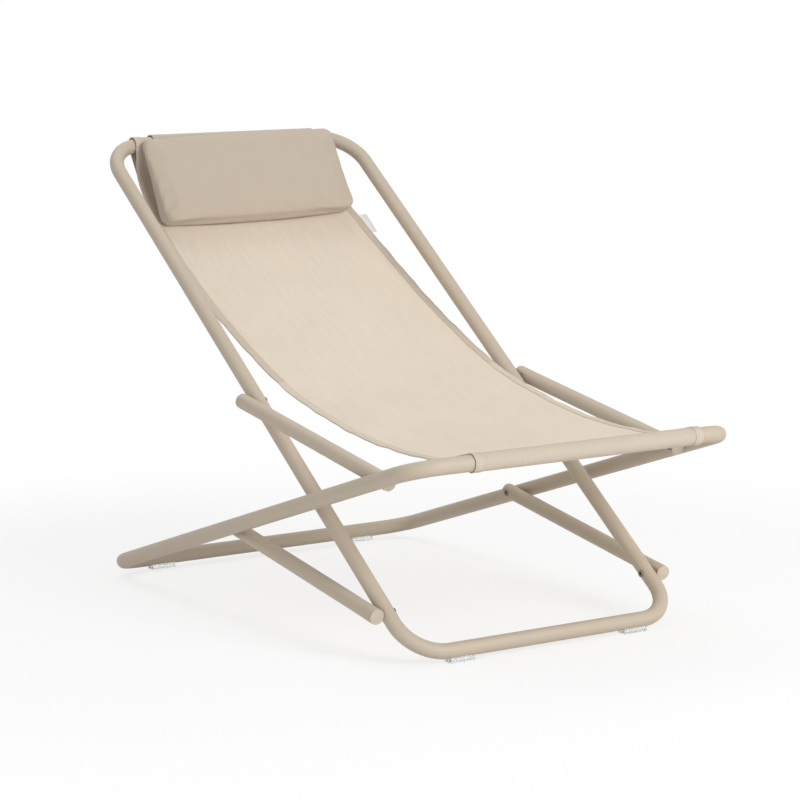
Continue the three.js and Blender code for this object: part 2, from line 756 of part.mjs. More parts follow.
const slack = new THREE.Vector2(Math.cos(backAngle), Math.sin(backAngle)).multiplyScalar(-topSleeveEase);
const topPocket = {
  centre: top.clone().add(slack),
  inner: backRadius + touchGap + topSleeveEase,
  seam: slingLine[0],
};
const frontPocket = { centre: front, inner: seatRadius + touchGap, seam: slingLine[slingLine.length - 1] };
const lowerStart = slingSplit + touchGap;
place(chair, "sling_back", slingPanel(0, slingSplit, topPocket), slingCloth());
place(chair, "sling_seat", slingPanel(lowerStart, slingLength, frontPocket), slingCloth());
for (const [hand, side] of Object.entries(sides)) {
  place(chair, `binding_back_${hand}`, binding(side, bindingSetback, slingSplit), hemCloth());
  place(chair, `binding_seat_${hand}`, binding(side, lowerStart, slingLength - bindingSetback), hemCloth());
}
const tagStart = slingLength * tagPlaceShare;
const tagLine = stretch(slingLine, tagStart, tagStart + tagLength);
const tagEdge = slingRight + touchGap;
const tag = strip(tagLine, tagThickness, tagEdge, tagEdge + tagWidth);
place(chair, "side_tag", drawIn(tag, slingMiddle), whiteTape());

const lean = pillowLean();
const pillowGroup = new THREE.Group();
pillowGroup.position.set(pillowMiddle, ...pillowContact(lean).toArray());
pillowGroup.rotation.x = lean;
chair.add(pillowGroup);
const pillowPlace = [0, pillowRise - pillowHeight / 2, 0];
place(pillowGroup, "headrest_pillow", pillow(), pillowCloth(), pillowPlace, [0, 0, rollAngle]);
place(chair, "headrest_band", band(), pillowCloth());
const weightHalf = bandWidth / 2 - weightInset;
const weight = rod(weightDiameter / 2, -weightHalf, weightHalf);
place(chair, "headrest_weight", weight, steel(), [pillowMiddle, weightAt.x, weightAt.y]);

chair.updateMatrixWorld(true);
const extent = new THREE.Box3().setFromObject(chair, true);
chair.position.y = -(extent.min.y + extent.max.y) / 2;

export default chair;
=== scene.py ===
from math import acos, asin, atan2, cos, dist, hypot, pi, radians, sin, sqrt

import bmesh
import bpy
import numpy as np
from mathutils import Matrix, Vector
from mathutils.bvhtree import BVHTree


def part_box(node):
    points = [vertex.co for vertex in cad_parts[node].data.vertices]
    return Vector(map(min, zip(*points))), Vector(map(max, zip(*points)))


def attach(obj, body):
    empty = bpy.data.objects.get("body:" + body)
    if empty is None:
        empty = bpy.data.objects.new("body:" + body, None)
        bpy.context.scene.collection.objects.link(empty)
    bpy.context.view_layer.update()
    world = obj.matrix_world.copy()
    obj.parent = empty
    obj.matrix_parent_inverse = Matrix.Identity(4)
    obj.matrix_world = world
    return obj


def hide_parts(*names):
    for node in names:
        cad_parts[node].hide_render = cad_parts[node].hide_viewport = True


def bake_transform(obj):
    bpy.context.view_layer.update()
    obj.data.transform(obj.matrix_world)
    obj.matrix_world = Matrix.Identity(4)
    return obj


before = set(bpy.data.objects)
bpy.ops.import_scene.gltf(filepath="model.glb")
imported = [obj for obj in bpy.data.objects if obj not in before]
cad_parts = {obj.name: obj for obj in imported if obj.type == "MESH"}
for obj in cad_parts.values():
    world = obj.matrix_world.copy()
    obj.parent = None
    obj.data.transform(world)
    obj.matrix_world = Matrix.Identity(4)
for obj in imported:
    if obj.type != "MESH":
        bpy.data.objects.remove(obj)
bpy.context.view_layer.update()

# Camera and studio.
# The camera stands at the sitter's right knee, low and far away, where the photograph was taken: its place and
# lens were fitted to the tubes' edges. A pale floor fills the view and keeps the chair's shadow.
PICTURE = 800
FOCAL = 2860.67
AZIMUTH, ELEVATION, ROLL = radians(-33.715), radians(8.675), radians(-0.28)
DISTANCE, SLIDE_ACROSS, SLIDE_UP = 4.69208, -0.08675, 0.01094
CROSSING_Y = -0.1955
TARGET = Vector((0, CROSSING_Y, 0.35))
WHITE = (1, 1, 1, 1)
SHADOW_START, SHADOW_END, SHADOW_DEPTH = 0.7, 1.5, 0.74

backward = Vector((
    sin(AZIMUTH) * cos(ELEVATION),
    -cos(AZIMUTH) * cos(ELEVATION),
    sin(ELEVATION),
))
level_right = (-backward).cross(Vector((0, 0, 1))).normalized()
level_up = level_right.cross(-backward)
right = level_right * cos(ROLL) + level_up * sin(ROLL)
up = level_up * cos(ROLL) - level_right * sin(ROLL)
bpy.ops.object.camera_add()
camera = bpy.context.object
camera.name = "studio_camera"
camera.matrix_world = Matrix.Translation(
    TARGET + backward * DISTANCE + right * SLIDE_ACROSS + up * SLIDE_UP
) @ Matrix((right, up, backward)).transposed().to_4x4()
camera.data.sensor_width = 36
camera.data.lens = FOCAL * 36 / PICTURE
camera.data.clip_end = 100
scene = bpy.context.scene
scene.camera = camera
scene.view_settings.view_transform = "Standard"


def node(tree, kind, links=None, out=0, **values):
    """A node with its properties, then its sockets by name or number set or linked. It gives one of its outputs,
    or with out=None the node itself."""
    made = tree.nodes.new("ShaderNode" + kind)
    for name, value in values.items():
        setattr(made, name, value)
    for socket, source in (links or {}).items():
        if isinstance(source, bpy.types.NodeSocket):
            tree.links.new(source, made.inputs[socket])
        else:
            made.inputs[socket].default_value = source
    return made if out is None else made.outputs[out]


def maths(tree, operation, *sources):
    return node(tree, "Math", dict(enumerate(sources)), operation=operation)


def own_place(tree):
    return node(tree, "TexCoord", out="Object")


def showing(tree):
    """1 for the rays that show what they meet: from the camera, in a gloss or through clear plastic."""
    rays = node(tree, "LightPath", out=None).outputs
    plain = maths(tree, "MAXIMUM", rays["Is Camera Ray"], rays["Is Glossy Ray"])
    return maths(tree, "MAXIMUM", plain, rays["Is Transmission Ray"])


world = bpy.data.worlds.new("studio_air")
scene.world = world
world.use_nodes = True
air = world.node_tree
air.nodes.clear()
surround = node(air, "Background", {"Color": WHITE, "Strength": 0.5})
seen = node(air, "Background", {"Color": WHITE, "Strength": 1})
either = node(air, "MixShader", {"Fac": showing(air), 1: surround, 2: seen})
node(air, "OutputWorld", {"Surface": either}, out=None)


def soft_box(name, place, size, watts):
    bpy.ops.object.light_add(type="AREA", location=place)
    lamp = bpy.context.object
    lamp.name = name
    lamp.data.shape = "DISK"
    lamp.data.size = size
    lamp.data.energy = watts
    lamp.rotation_euler = (Vector((0, 0, 0.35)) - Vector(place)).to_track_quat("-Z", "Y").to_euler()


soft_box("key_light", (0.92, -3.7, 2.1), 2.2, 104)
soft_box("rear_light", (0, 1.7, 3.3), 2.4, 30)
soft_box("side_light", (-3.4, -1.96, 1.05), 2.6, 24)

bpy.ops.mesh.primitive_grid_add(x_subdivisions=2, y_subdivisions=2, size=60, location=(0, 0, -0.0005))
floor = bpy.context.object
floor.name = "studio_floor"
floor_paint = bpy.data.materials.new("pale_floor")
floor_paint.use_nodes = True
ground = floor_paint.node_tree
ground.nodes.clear()
matt = node(ground, "BsdfDiffuse", {"Color": (0.9, 0.9, 0.9, 1)})
white = node(ground, "Emission", {"Color": WHITE, "Strength": 1})
spot_on_floor = own_place(ground)
from_chair = node(ground, "VectorMath", {0: spot_on_floor}, out="Value", operation="LENGTH")
fading = {0: from_chair, 1: SHADOW_START, 2: SHADOW_END, 3: SHADOW_DEPTH, 4: 1}
whiter = node(ground, "MapRange", fading, interpolation_type="SMOOTHSTEP")
how_white = maths(ground, "MULTIPLY", whiter, showing(ground))
either = node(ground, "MixShader", {"Fac": how_white, 1: matt, 2: white})
node(ground, "OutputMaterial", {"Surface": either}, out=None)
floor.data.materials.append(floor_paint)


# Back frame.
# One 25 mm tube bent into a long loop: a floor bar, two side tubes with the pivots' bolts, and the top bar that
# the sling hangs from. It is powder coated in satin taupe, a little rough where it catches the light.
MM = 0.001
BACK_TUBE = 25 * MM
BACK_WIDTH, BACK_LENGTH = 514 * MM, 1219 * MM
BACK_FLOOR_BEND, BACK_TOP_BEND = 67 * MM, 72 * MM
TUBE_SIDES, BEND_STEPS = 48, 14
GLIDE_HEIGHT = 6 * MM
FRAME_PIVOTS, STRUT_PIVOTS = 474 * MM, 421 * MM
BACK_FOOT = 92 * MM
SEAT_FOOT = 405 * MM
SEAT_TUBE = 26 * MM
TAUPE = (0.485, 0.41, 0.318)
FACING_X, FACING_Y = (0, pi / 2, 0), (pi / 2, 0, 0)

CROSSING = 2 * acos(STRUT_PIVOTS / FRAME_PIVOTS)
back_to_crossing = BACK_FOOT + FRAME_PIVOTS / 2
seat_to_crossing = SEAT_FOOT + FRAME_PIVOTS / 2
along = back_to_crossing + seat_to_crossing * cos(CROSSING)
across = seat_to_crossing * sin(CROSSING)
BACK_ANGLE = atan2(across, along) + asin((SEAT_TUBE - BACK_TUBE) / 2 / hypot(along, across))
SEAT_ANGLE = CROSSING - BACK_ANGLE
STRUT_ANGLE = (BACK_ANGLE - SEAT_ANGLE) / 2
BACK_FLOOR = Vector((0, CROSSING_Y - back_to_crossing * cos(BACK_ANGLE), GLIDE_HEIGHT + BACK_TUBE / 2))
SEAT_FLOOR = Vector((0, CROSSING_Y + seat_to_crossing * cos(SEAT_ANGLE), GLIDE_HEIGHT + SEAT_TUBE / 2))
back_way = Vector((0, cos(BACK_ANGLE), sin(BACK_ANGLE)))
seat_way = Vector((0, -cos(SEAT_ANGLE), sin(SEAT_ANGLE)))
strut_way = Vector((0, -cos(STRUT_ANGLE), -sin(STRUT_ANGLE)))


def new_group(name, inputs):
    """A node group that gives a colour, a roughness and a normal. Each input has a kind of socket and a value."""
    group = bpy.data.node_groups.new(name, "ShaderNodeTree")
    for title, kind, value in inputs:
        socket = group.interface.new_socket(title, in_out="INPUT", socket_type="NodeSocket" + kind)
        if value is not None:
            socket.default_value = value
    for title, kind in (("Colour", "Color"), ("Roughness", "Float"), ("Normal", "Vector")):
        group.interface.new_socket(title, in_out="OUTPUT", socket_type="NodeSocket" + kind)
    return group, group.nodes.new("NodeGroupInput").outputs


def give(group, colour, roughness, strength, distance, height):
    """The group's colour, its roughness and the normal of a bump."""
    bump = node(group, "Bump", {"Strength": strength, "Distance": distance, "Height": height})
    result = group.nodes.new("NodeGroupOutput").inputs
    for title, source in (("Colour", colour), ("Roughness", roughness), ("Normal", bump)):
        group.links.new(source, result[title])
    return group


def ranged(tree, value, *limits):
    """A value's range mapped to another one: its low and high, then the new ones."""
    return node(tree, "MapRange", dict(enumerate((value, *limits))))


def noise(tree, place, scale, detail, roughness=0.5):
    return node(tree, "TexNoise", {"Vector": place, "Scale": scale, "Detail": detail, "Roughness": roughness})


def tinted(tree, colour, gain):
    return node(tree, "VectorMath", {0: colour, 3: gain}, operation="SCALE")


def coat_group():
    """Powder coat: orange-peel texture and faint mottling."""
    group, given = new_group(
        "powder_coat", [("Colour", "Color", (*TAUPE, 1)), ("Peel", "Float", 0.3), ("Mottle", "Float", 0.03)]
    )
    place = own_place(group)
    fine = noise(group, place, 900, 3, 0.6)
    broad = noise(group, place, 14, 4, 0.55)
    tint = maths(group, "MULTIPLY", ranged(group, broad, 0.3, 0.7, -0.5, 0.5), given["Mottle"])
    colour = tinted(group, given["Colour"], maths(group, "ADD", tint, 1.0))
    satin = ranged(group, fine, 0.3, 0.7, 0.52, 0.64)
    return give(group, colour, satin, given["Peel"], 0.00012, fine)


powder_coat = coat_group()


def unrolled(tree):
    """The cloth's own UV map, in metres."""
    return node(tree, "UVMap")


def material_of(name, group, values=None, place=unrolled, **shader):
    """A material whose colour, roughness and normal come from a group; shader sets the rest."""
    material = bpy.data.materials.new(name)
    material.use_nodes = True
    tree = material.node_tree
    principled = tree.nodes["Principled BSDF"]
    for title, value in shader.items():
        principled.inputs[title.replace("_", " ").title()].default_value = value
    pattern = node(tree, "Group", values, out=None, node_tree=group)
    if "Cloth" in pattern.inputs.keys():
        tree.links.new(place(tree), pattern.inputs["Cloth"])
    for title, socket in (("Colour", "Base Color"), ("Roughness", "Roughness"), ("Normal", "Normal")):
        tree.links.new(pattern.outputs[title], principled.inputs[socket])
    return material


frame_paint = material_of("frame_paint", powder_coat)


def mode(name):
    bpy.ops.object.mode_set(mode=name)


def alone(piece=None):
    """Nothing selected but the piece, so that an operator acts only on it or on what is made next."""
    if bpy.context.mode != "OBJECT":
        mode("OBJECT")
    bpy.ops.object.select_all(action="DESELECT")
    if piece:
        piece.select_set(True)
        bpy.context.view_layer.objects.active = piece


def fresh(name):
    """The piece just added: named, with its place and turn in its mesh."""
    piece = bpy.context.object
    piece.name = name
    bpy.ops.object.transform_apply()
    return piece


def dress(piece, look):
    piece.data.materials.clear()
    piece.data.materials.append(look)


def settle(piece, material, body, slot, *nodes):
    alone(piece)
    bpy.ops.object.transform_apply()
    if material:
        dress(piece, material)
    if body:
        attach(piece, body)
    if nodes:
        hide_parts(*nodes)


def cylinder(sides, radius, depth, place=(0, 0, 0), turn=(0, 0, 0)):
    alone()
    bpy.ops.mesh.primitive_cylinder_add(vertices=sides, radius=radius, depth=depth, location=place, rotation=turn)
    return bpy.context.object


def extrude(x, y, z):
    bpy.ops.mesh.extrude_region_move(TRANSFORM_OT_translate={"value": (x, y, z)})


def outside_out():
    """In edit mode: doubles merged and every face turned outwards, then back to object mode."""
    bpy.ops.mesh.select_all(action="SELECT")
    bpy.ops.mesh.remove_doubles(threshold=1e-6)
    bpy.ops.mesh.normals_make_consistent(inside=False)
    bpy.ops.mesh.faces_shade_smooth()
    mode("OBJECT")


def bent_loop(name, tube, width, length, near_bend, far_bend):
    """A looped tube in the XY plane, near bar on y = 0: a ring is drawn along each straight and spun round
    each corner, from the middle of the far bar all the way round."""
    alone()
    half = width / 2
    bpy.ops.mesh.primitive_circle_add(
        vertices=TUBE_SIDES, radius=tube / 2, location=(0, length, 0), rotation=FACING_X
    )
    loop = fresh(name)
    mode("EDIT")
    bpy.ops.mesh.select_all(action="SELECT")

    def turn(x, y):
        bpy.ops.mesh.spin(steps=BEND_STEPS, angle=pi / 2, center=(x, y, 0), axis=(0, 0, 1))

    extrude(half - far_bend, 0, 0)
    turn(half - far_bend, length - far_bend)
    extrude(0, near_bend + far_bend - length, 0)
    turn(half - near_bend, near_bend)
    extrude(2 * near_bend - width, 0, 0)
    turn(near_bend - half, near_bend)
    extrude(0, length - near_bend - far_bend, 0)
    turn(far_bend - half, length - far_bend)
    extrude(half - far_bend, 0, 0)
    outside_out()
    return loop


back_loop = bent_loop("back_loop", BACK_TUBE, BACK_WIDTH, BACK_LENGTH, BACK_FLOOR_BEND, BACK_TOP_BEND)
back_loop.rotation_euler.x = BACK_ANGLE
back_loop.location = BACK_FLOOR
settle(back_loop, frame_paint, "back_frame", "frame_paint", "back_frame")


# Seat frame.
# The second loop, of 26 mm tube and wider, so that the back frame turns inside it. Its front bar carries the
# sling's front sleeve and its rear bar rests on the floor. The paint is the back frame's.
SEAT_LENGTH = 996 * MM
SEAT_REAR_BEND, SEAT_FRONT_BEND = 52 * MM, 50 * MM
TOUCH = 0.3 * MM
WASHER = 1.7 * MM
PRESSED = 21 * MM
STRUT_TUBE = 25 * MM
PIVOT_GAP = WASHER + 2 * TOUCH
STRUT_X = BACK_WIDTH / 2 + BACK_TUBE / 2 + PIVOT_GAP + PRESSED / 2
SEAT_WIDTH = 2 * (STRUT_X + PRESSED / 2 + PIVOT_GAP + SEAT_TUBE / 2)

seat_loop = bent_loop("seat_loop", SEAT_TUBE, SEAT_WIDTH, SEAT_LENGTH, SEAT_REAR_BEND, SEAT_FRONT_BEND)
seat_loop.rotation_euler.x = pi - SEAT_ANGLE
seat_loop.location = SEAT_FLOOR
settle(seat_loop, frame_paint, "seat_frame", "frame_paint", "seat_frame")


# Struts.
# Four straight tubes that join the two frames. Each is pressed a little flat round its two pivots, so that the
# round tubes clear each other, and has open ends for the caps.
STRUT_OVERRUN = 11.5 * MM
CAP = 2 * MM
PRESSED_LENGTH, FADE_OUT, FADE_IN = 14.6 * MM, 1.9 * MM, 20 * MM
BULGE = 0.2
TUBE_WALL = 1.6 * MM
strut_start = CAP + TOUCH - STRUT_OVERRUN
strut_end = STRUT_PIVOTS - strut_start


def half_thickness(y):
    """The strut's half thickness at y: pressed round each pivot and full some way off."""
    near = min(abs(y), abs(y - STRUT_PIVOTS))
    fade = FADE_OUT if y < 0 or y > STRUT_PIVOTS else FADE_IN
    share = min(max((near - PRESSED_LENGTH / 2) / fade, 0), 1)
    share = share * share * (3 - 2 * share)
    return PRESSED / 2 + (STRUT_TUBE - PRESSED) / 2 * share


def applied(piece, kind, **settings):
    """A modifier set and applied."""
    modifier = piece.modifiers.new(kind.lower(), kind)
    for setting, value in settings.items():
        setattr(modifier, setting, value)
    bpy.context.view_layer.objects.active = piece
    bpy.ops.object.modifier_apply(modifier=modifier.name)


def crisp(degrees):
    """Smooth shading, but for edges sharper than that."""
    bpy.ops.object.shade_smooth_by_angle(angle=radians(degrees))


def strut_mesh(name):
    alone()
    bpy.ops.mesh.primitive_circle_add(
        vertices=TUBE_SIDES, radius=STRUT_TUBE / 2, location=(0, strut_start, 0), rotation=FACING_Y
    )
    strut = fresh(name)
    mode("EDIT")
    bpy.ops.mesh.select_all(action="SELECT")
    steps = [strut_start, strut_end]
    for pivot, way in ((0, 1), (STRUT_PIVOTS, -1)):
        steps += [pivot + way * (PRESSED_LENGTH / 2 + FADE_IN * i / 8) for i in range(9)]
        steps += [pivot - way * (PRESSED_LENGTH / 2 + FADE_OUT * i / 4) for i in range(5)]
    steps = sorted({round(step, 5) for step in steps})
    for a, b in zip(steps, steps[1:]):
        extrude(0, b - a, 0)
    outside_out()
    for v in strut.data.vertices:
        half = half_thickness(v.co.y)
        v.co.x = min(max(v.co.x, -half), half)
        v.co.z *= 1 + BULGE * (1 - half / (STRUT_TUBE / 2))
    applied(strut, "SOLIDIFY", thickness=TUBE_WALL, offset=-1)
    crisp(40)
    return strut


hands = {"left": -1, "right": 1}
strut_rears = {
    "upper": BACK_FLOOR + back_way * (BACK_FOOT + FRAME_PIVOTS),
    "lower": SEAT_FLOOR + seat_way * SEAT_FOOT,
}
for level, rear in strut_rears.items():
    for hand, side in hands.items():
        strut = strut_mesh(f"{level}_strut_{hand}_tube")
        strut.rotation_euler.x = pi + STRUT_ANGLE
        strut.location = rear + Vector((side * STRUT_X, 0, 0))
        body = f"{level}_strut_{hand}"
        settle(strut, frame_paint, body, "frame_paint", body)


# Strut end caps.
# A flat moulded disc with a softened edge closes each strut end, a shade paler than the paint. A shallow ring is
# moulded in its face, and its plug is pressed into the tube.
CAP_EDGE = 0.5 * MM
RING_INSET, RING_SLOPE, RING_WIDTH, RING_DEPTH = 1.5 * MM, 0.3 * MM, 0.8 * MM, 0.25 * MM
PLUG_INSET, PLUG_LENGTH, PLUG_TIP = 3.9 * MM, 3.2 * MM, 0.8 * MM
CAP_BEIGE = (0.53, 0.455, 0.355)


def plastic_group():
    """Moulded plastic: a fine spark-eroded grain and a faint change of tone."""
    group, given = new_group(
        "moulded_plastic",
        [("Colour", "Color", (*CAP_BEIGE, 1)), ("Grain", "Float", 0.2), ("Base Roughness", "Float", 0.45)],
    )
    place = own_place(group)
    grain = noise(group, place, 1500, 2)
    tone = noise(group, place, 60, 2)
    colour = tinted(group, given["Colour"], ranged(group, tone, 0.3, 0.7, 0.97, 1.03))
    rough = maths(group, "ADD", ranged(group, grain, 0.3, 0.7, -0.05, 0.05), given["Base Roughness"])
    return give(group, colour, rough, given["Grain"], 0.00005, grain)


moulded_plastic = plastic_group()
cap_plastic = material_of("cap_plastic", moulded_plastic)


def pick(piece, kind, chosen):
    """In edit mode: only the chosen faces or edges selected."""
    bpy.ops.mesh.select_all(action="DESELECT")
    shape = bmesh.from_edit_mesh(piece.data)
    for item in getattr(shape, kind):
        item.select = chosen(item)


def cap_mesh(name):
    """A disc whose outside lies on y = 0, with a moulded ring and a plug toward +Y."""
    cylinder(TUBE_SIDES, STRUT_TUBE / 2, CAP, (0, CAP / 2, 0), FACING_Y)
    cap = fresh(name)
    applied(cap, "BEVEL", width=CAP_EDGE, segments=3)
    mode("EDIT")
    pick(cap, "faces", lambda face: len(face.verts) == TUBE_SIDES and face.normal.y < -0.9)
    ring = (RING_INSET, 0), (RING_SLOPE, -RING_DEPTH), (RING_WIDTH, 0), (RING_SLOPE, RING_DEPTH)
    for thickness, depth in ring:
        bpy.ops.mesh.inset(thickness=thickness, depth=depth)
    pick(cap, "faces", lambda face: len(face.verts) == TUBE_SIDES and face.normal.y > 0.9)
    bpy.ops.mesh.inset(thickness=PLUG_INSET - CAP_EDGE, depth=0)
    extrude(0, PLUG_LENGTH, 0)
    extrude(0, PLUG_TIP, 0)
    bpy.ops.transform.resize(value=(0.9, 1, 0.9))
    mode("OBJECT")
    crisp(35)
    return cap


for level, rear in strut_rears.items():
    for hand, side in hands.items():
        for end, turn, reach in (("rear", pi, -STRUT_OVERRUN), ("front", 0, STRUT_PIVOTS + STRUT_OVERRUN)):
            cap = cap_mesh(f"{level}_{hand}_{end}_end_cap")
            cap.rotation_euler.x = turn + STRUT_ANGLE
            cap.location = rear + strut_way * reach + Vector((side * STRUT_X, 0, 0))
            body = f"{level}_strut_{hand}"
            settle(cap, cap_plastic, body, "cap_plastic", f"{body}_{end}_cap")


# Pivot bolts, washers and inserts.
# Socket bolts with low flat heads, lacquered brown, hold the pivots. Nylon washers keep the tubes apart, and the
# bolts turn in zinc-plated inserts. The sockets' faces are painted near black and dull: painted shade for their
# hollows.
BOLT, BOLT_HEAD, HEAD_HEIGHT = 6 * MM, 12 * MM, MM
BOLT_GRIP = 8 * MM
SOCKET, SOCKET_DEPTH = 4.6 * MM, 1.1 * MM
SOCKET_CORNER = SOCKET / sqrt(3)
INSERT = 9 * MM


def metal_group():
    """Plated steel: fine scratches and uneven sheen."""
    group, given = new_group(
        "plated_steel", [("Colour", "Color", (0.05, 0.045, 0.04, 1)), ("Base Roughness", "Float", 0.35)]
    )
    marks = noise(group, own_place(group), 700, 4)
    colour = tinted(group, given["Colour"], ranged(group, marks, 0.3, 0.7, 0.85, 1.15))
    rough = maths(group, "ADD", ranged(group, marks, 0.3, 0.7, -0.06, 0.06), given["Base Roughness"])
    return give(group, colour, rough, 0.15, 0.00004, marks)


plated_steel = metal_group()
bolt_steel = material_of("bolt_steel", plated_steel, {"Colour": (0.22, 0.18, 0.14, 1)}, metallic=0.3)
SOCKET_SHADE_BLACK, BRIGHT, NYLON = (0.012, 0.01, 0.009, 1), (0.55, 0.55, 0.54, 1), (0.27, 0.235, 0.195, 1)
# Painted shade: the socket's faces are near black with little gloss, standing in for the dark inside of the
# hollow.
painted_socket_shade = material_of("painted_socket_shade", plated_steel, {"Colour": SOCKET_SHADE_BLACK, "Base Roughness": 0.8})
painted_socket_shade.node_tree.nodes["Principled BSDF"].inputs["Specular IOR Level"].default_value = 0.1
bright_steel = material_of("bright_steel", plated_steel, {"Colour": BRIGHT, "Base Roughness": 0.3}, metallic=0.95)
washer_nylon = material_of("washer_nylon", moulded_plastic, {"Colour": NYLON, "Base Roughness": 0.5})


def shaped(piece, tool, operation="DIFFERENCE"):
    """The piece cut by the tool, or joined with it, and the tool gone."""
    applied(piece, "BOOLEAN", object=tool, operation=operation, solver="EXACT")
    bpy.data.objects.remove(tool, do_unlink=True)


def bolt_mesh(name, length):
    """Along +X, with the head's flat side on x = 0: shank drawn out, head rounded and socket sunk."""
    cylinder(36, BOLT_HEAD / 2, HEAD_HEIGHT, (-HEAD_HEIGHT / 2, 0, 0), FACING_X)
    bolt = fresh(name)
    mode("EDIT")
    pick(bolt, "faces", lambda face: face.normal.x > 0.9)
    bpy.ops.mesh.inset(thickness=(BOLT_HEAD - BOLT) / 2)
    extrude(length, 0, 0)
    pick(bolt, "edges", lambda edge: all(abs(v.co.x + HEAD_HEIGHT) < 1e-6 for v in edge.verts))
    bpy.ops.mesh.bevel(offset=HEAD_HEIGHT * 0.6, segments=5)
    shaped(bolt, cylinder(6, SOCKET_CORNER, 2 * SOCKET_DEPTH, (-HEAD_HEIGHT, 0, 0), FACING_X))
    crisp(35)
    return bolt


INSERT_RECESS = SEAT_TUBE / 2 - sqrt((SEAT_TUBE / 2) ** 2 - (INSERT / 2) ** 2) + TOUCH
pivots = {
    "back_upper": (strut_rears["upper"], BACK_WIDTH / 2, BACK_TUBE / 2),
    "back_lower": (BACK_FLOOR + back_way * BACK_FOOT, BACK_WIDTH / 2, BACK_TUBE / 2),
    "seat_upper": (SEAT_FLOOR + seat_way * (SEAT_FOOT + FRAME_PIVOTS), STRUT_X, PRESSED / 2),
    "seat_lower": (strut_rears["lower"], STRUT_X, PRESSED / 2),
}
for pivot, (centre, inner_x, half) in pivots.items():
    for hand, side in hands.items():
        head_seat = inner_x - half - TOUCH
        tip = inner_x + half + TOUCH + WASHER
        if pivot != "seat_lower":
            tip += TOUCH + INSERT_RECESS + BOLT_GRIP
        seat = centre + Vector((side * head_seat, 0, 0))
        bolt = bolt_mesh(f"{pivot}_{hand}_pivot_bolt", tip - head_seat)
        bolt.rotation_euler.z = 0 if side > 0 else pi
        bolt.location = seat
        carrier = "back_frame" if pivot.startswith("back") else pivot.split("_")[1] + f"_strut_{hand}"
        settle(bolt, bolt_steel, carrier, "bolt_steel", f"bolt_{pivot}_{hand}")
        # Faces inside the socket take the painted shade.
        bolt.data.materials.append(painted_socket_shade)
        for face in bolt.data.polygons:
            out = face.center - seat
            if hypot(*out.yz) < SOCKET_CORNER and 1e-5 < HEAD_HEIGHT + side * out.x < 2 * SOCKET_DEPTH:
                face.material_index = 1
for name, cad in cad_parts.items():
    look = {"washer": washer_nylon, "insert": bright_steel}.get(name.split("_")[0])
    if name in ("back_spigot", "seat_spigot", "headrest_weight"):
        look = bright_steel
    if look:
        dress(cad, look)


# Glides.
# A clear plastic saddle under each floor bar keeps the paint off the ground, two to a frame, each with a stem
# pushed into a hole in the tube. Its corners are well rounded and its foot is a little scuffed.
GLIDE_LENGTH, GLIDE_WIDTH, GLIDE_WRAP = 45 * MM, 18 * MM, 3.2 * MM
GLIDE_CORNER, GLIDE_EDGE = 7 * MM, 1.2 * MM
STEM_RADIUS, STEM_LENGTH, STEM_MIDDLE = 2.5 * MM, 11 * MM, 8.5 * MM
BACK_GLIDE_X = BACK_WIDTH / 2 - 87 * MM
SEAT_GLIDE_X = SEAT_WIDTH / 2 - 96 * MM
glide_clear = bpy.data.materials.new("glide_clear")
glide_clear.use_nodes = True
plastic = glide_clear.node_tree
clear = plastic.nodes["Principled BSDF"].inputs
clear["Base Color"].default_value = (0.93, 0.95, 0.95, 1)
clear["Transmission Weight"].default_value = 0.9
clear["IOR"].default_value = 1.38
scuffs = noise(plastic, own_place(plastic), 350, 5)
plastic.links.new(ranged(plastic, scuffs, 0.35, 0.7, 0.12, 0.4), clear["Roughness"])


def glide_mesh(name, tube):
    """A rounded block on the floor, hollowed by its bar, with a stem up into it."""
    height = GLIDE_HEIGHT + GLIDE_WRAP
    alone()
    bpy.ops.mesh.primitive_cube_add(size=1, location=(0, 0, height / 2), scale=(GLIDE_LENGTH, GLIDE_WIDTH, height))
    glide = fresh(name)
    mode("EDIT")
    pick(glide, "edges", lambda edge: abs(edge.verts[0].co.z - edge.verts[1].co.z) > height / 2)
    bpy.ops.mesh.bevel(offset=GLIDE_CORNER, segments=6)
    pick(glide, "edges", lambda edge: all(v.co.z < 1e-6 for v in edge.verts))
    bpy.ops.mesh.bevel(offset=GLIDE_EDGE, segments=3)
    mode("OBJECT")
    for radius, depth, z, turn, operation in (
        (tube / 2 + TOUCH, GLIDE_LENGTH * 2, GLIDE_HEIGHT + tube / 2, FACING_X, "DIFFERENCE"),
        (STEM_RADIUS, STEM_LENGTH, STEM_MIDDLE, (0, 0, 0), "UNION"),
    ):
        shaped(glide, cylinder(64, radius, depth, (0, 0, z), turn), operation)
    crisp(35)
    return glide


for bar, tube, x, y in (
    ("back", BACK_TUBE, BACK_GLIDE_X, BACK_FLOOR.y),
    ("seat", SEAT_TUBE, SEAT_GLIDE_X, SEAT_FLOOR.y),
):
    for hand, side in hands.items():
        glide = glide_mesh(f"{bar}_clear_glide_{hand}", tube)
        glide.location = (side * x, y, 0)
        settle(glide, glide_clear, f"{bar}_frame", "glide_clear", f"{bar}_glide_{hand}")


